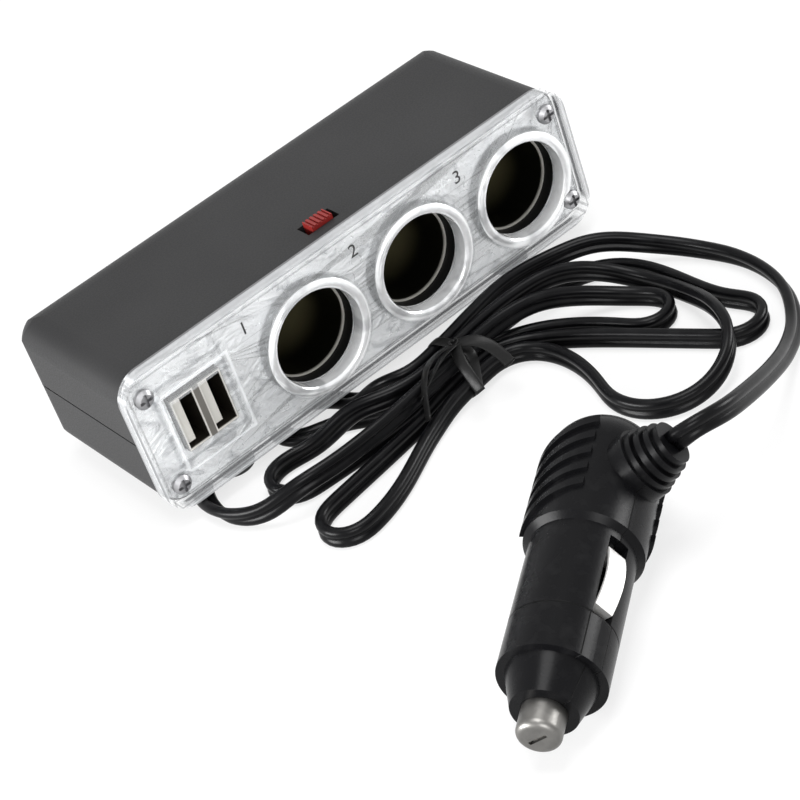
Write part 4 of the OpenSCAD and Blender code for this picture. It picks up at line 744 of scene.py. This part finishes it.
def springPiece():
    # wire wound round the plug's axis in the room of the plain spring. It climbs by one wire in its first turn
    # and in its last, which close it, and evenly between them
    start, axis, out, across = (np.array(plugFrame[key]) for key in ("start", "axis", "out", "across"))
    plain = nodes["tip_spring"]
    flat = np.zeros(len(plain.data.vertices) * 3)
    plain.data.vertices.foreach_get("co", flat)
    turn = np.array(plain.matrix_world)
    place = flat.reshape(-1, 3) @ turn[:3, :3].T + turn[:3, 3] - start
    along = place @ axis
    low, reach = along.min(), np.ptp(along)
    wire, turns = spring["wire"], spring["turns"]
    r = np.linalg.norm(place - along[:, None] * axis, axis=1).max() - wire / 2
    u = np.linspace(0, turns, turns * spring["steps"] + 1)
    climb = np.clip((u - 1) / (turns - 2), 0, 1) * (reach - 3 * wire)
    height = low + wire / 2 + wire * np.clip(u, 0, 1) + climb + wire * np.clip(u - turns + 1, 0, 1)
    a = 2 * np.pi * u[:, None]
    path = start + height[:, None] * axis + r * (np.cos(a) * across + np.sin(a) * out)
    parts = [tubeMesh(stripMesh(path, np.broadcast_to(axis, path.shape).copy(), wire, wire, 1))]
    piece = addPiece("tipSpring", parts, screwLook, "case")
    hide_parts("tip_spring")
    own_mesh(piece)
    print("spring of", round(reach, 5), "m made")
    return piece


plugNodes = ["plug_half_left", "plug_half_right", "plug_boot", "plug_collar", "plug_nose", "plug_tip",
             "fuse_tube", "fuse_caps", "fuse_terminal", "side_contact_upper", "side_contact_lower", "plug_wires"]
[tiePiece, springPiece(), "case_boot"] + plugNodes


# plain numbers on the front plate, in metres: the number, its x and its z
marks = {"size": 0.0044, "front": -0.02376, "thick": 0.00004, "curveSteps": 4, "merge": 0.000001,
         "places": [("1", -0.0300, 0.0335), ("2", -0.0003, 0.0335), ("3", 0.0291, 0.0335)]}


def addMarks():
    # each number is text made a mesh and stood up: its y becomes z, and its thickness -y
    parts = []
    for word, x, z in marks["places"]:
        data = bpy.data.curves.new("mark", "FONT")
        data.body = word
        data.size = marks["size"]
        data.extrude = marks["thick"] / 2
        data.align_x = "CENTER"
        data.align_y = "CENTER"
        data.resolution_u = marks["curveSteps"]
        letter = bpy.data.objects.new("mark", data)
        bpy.context.scene.collection.objects.link(letter)
        bpy.context.view_layer.update()
        mesh = bpy.data.meshes.new_from_object(letter.evaluated_get(bpy.context.evaluated_depsgraph_get()))
        joined = bmesh.new()  # front, back and edge of a number are made one closed mesh
        joined.from_mesh(mesh)
        bmesh.ops.remove_doubles(joined, verts=joined.verts, dist=marks["merge"])
        joined.to_mesh(mesh)
        joined.free()
        flat = np.zeros(len(mesh.vertices) * 3)
        mesh.vertices.foreach_get("co", flat)
        flat = flat.reshape(-1, 3)
        upright = np.column_stack([flat[:, 0] + x, marks["front"] - flat[:, 2], flat[:, 1] + z])
        parts.append((upright, [list(p.vertices) for p in mesh.polygons]))
        bpy.data.objects.remove(letter)
    addPiece("panelMarks", parts, inkLook, "case", smooth=False)


addMarks()
print("marks made")


# floor, lamps and world. white is the share of white in the floor near the object, which rises to all of it over
# whiteFade; light is what the world gives; a lamp is its place, what it points at, its size and its power
stage = {"half": 30.0, "floor": -0.00005, "colour": (0.82, 0.82, 0.82), "rough": 0.9, "white": 0.72,
         "whiteFade": (0.22, 0.7), "light": 0.4,
         "lamps": {"overhead": ((0.05, -0.12, 0.9), (0, -0.03, 0), (0.6, 0.4), 7.5),
                   "front": ((-0.35, -0.8, 0.35), (0, -0.03, 0.02), (0.4, 0.3), 4.0),
                   "left": ((-0.8, 0.1, 0.16), (-0.06, 0.0, 0.02), (0.5, 0.3), 12.0),
                   "right": ((0.85, -0.3, 0.2), (0, -0.05, 0.0), (0.4, 0.3), 4.5)}}


def addFloor():
    # a wide square just under the object, mostly white where it is seen, so that the shadow stays soft
    a, low = stage["half"], stage["floor"]
    mesh = bpy.data.meshes.new("floor")
    mesh.from_pydata([(-a, -a, low), (a, -a, low), (a, a, low), (-a, a, low)], [], [(0, 1, 2, 3)])
    floor = bpy.data.objects.new("floor", mesh)
    bpy.context.scene.collection.objects.link(floor)
    f = Finish("floorWhite")
    f.set(Base_Color=stage["colour"], Roughness=stage["rough"], Specular_IOR_Level=0.0)
    white = f.node("ShaderNodeEmission", None, {"Color": (1, 1, 1), "Strength": 1.0})
    x, y, z = f.axes()
    share = stage["white"] + ((x * x + y * y) ** 0.5).rise(*stage["whiteFade"]) * (1 - stage["white"])
    both = f.node("ShaderNodeMixShader", None,
                  {0: f.seen() * share, 1: Value(f, f.shader.outputs[0]), 2: white})
    f.join(both, f.tree.nodes["Material Output"].inputs["Surface"])
    mesh.materials.append(f.material)


def addLamp(name, place, aim, size, power):
    # a soft rectangular lamp turned towards its aim
    data = bpy.data.lights.new(name, "AREA")
    data.shape = "RECTANGLE"
    data.size, data.size_y = size
    data.energy = power
    lamp = bpy.data.objects.new(name, data)
    lamp.location = place
    lamp.rotation_euler = (Vector(aim) - Vector(place)).to_track_quat("-Z", "Y").to_euler()
    bpy.context.scene.collection.objects.link(lamp)


def addWorld():
    # white where it is seen, and a plain pale light on everything else
    world = bpy.data.worlds.new("studio")
    bpy.context.scene.world = world
    world.use_nodes = True
    g = Graph(world.node_tree)
    background = g.tree.nodes["Background"]
    g.join((1, 1, 1), background.inputs["Color"])
    g.join(g.seen() * (1 - stage["light"]) + stage["light"], background.inputs["Strength"])


addFloor()
for name, settings in stage["lamps"].items():
    addLamp(name, *settings)
addWorld()
bpy.context.scene.view_settings.view_transform = "Standard"
print("stage lit")
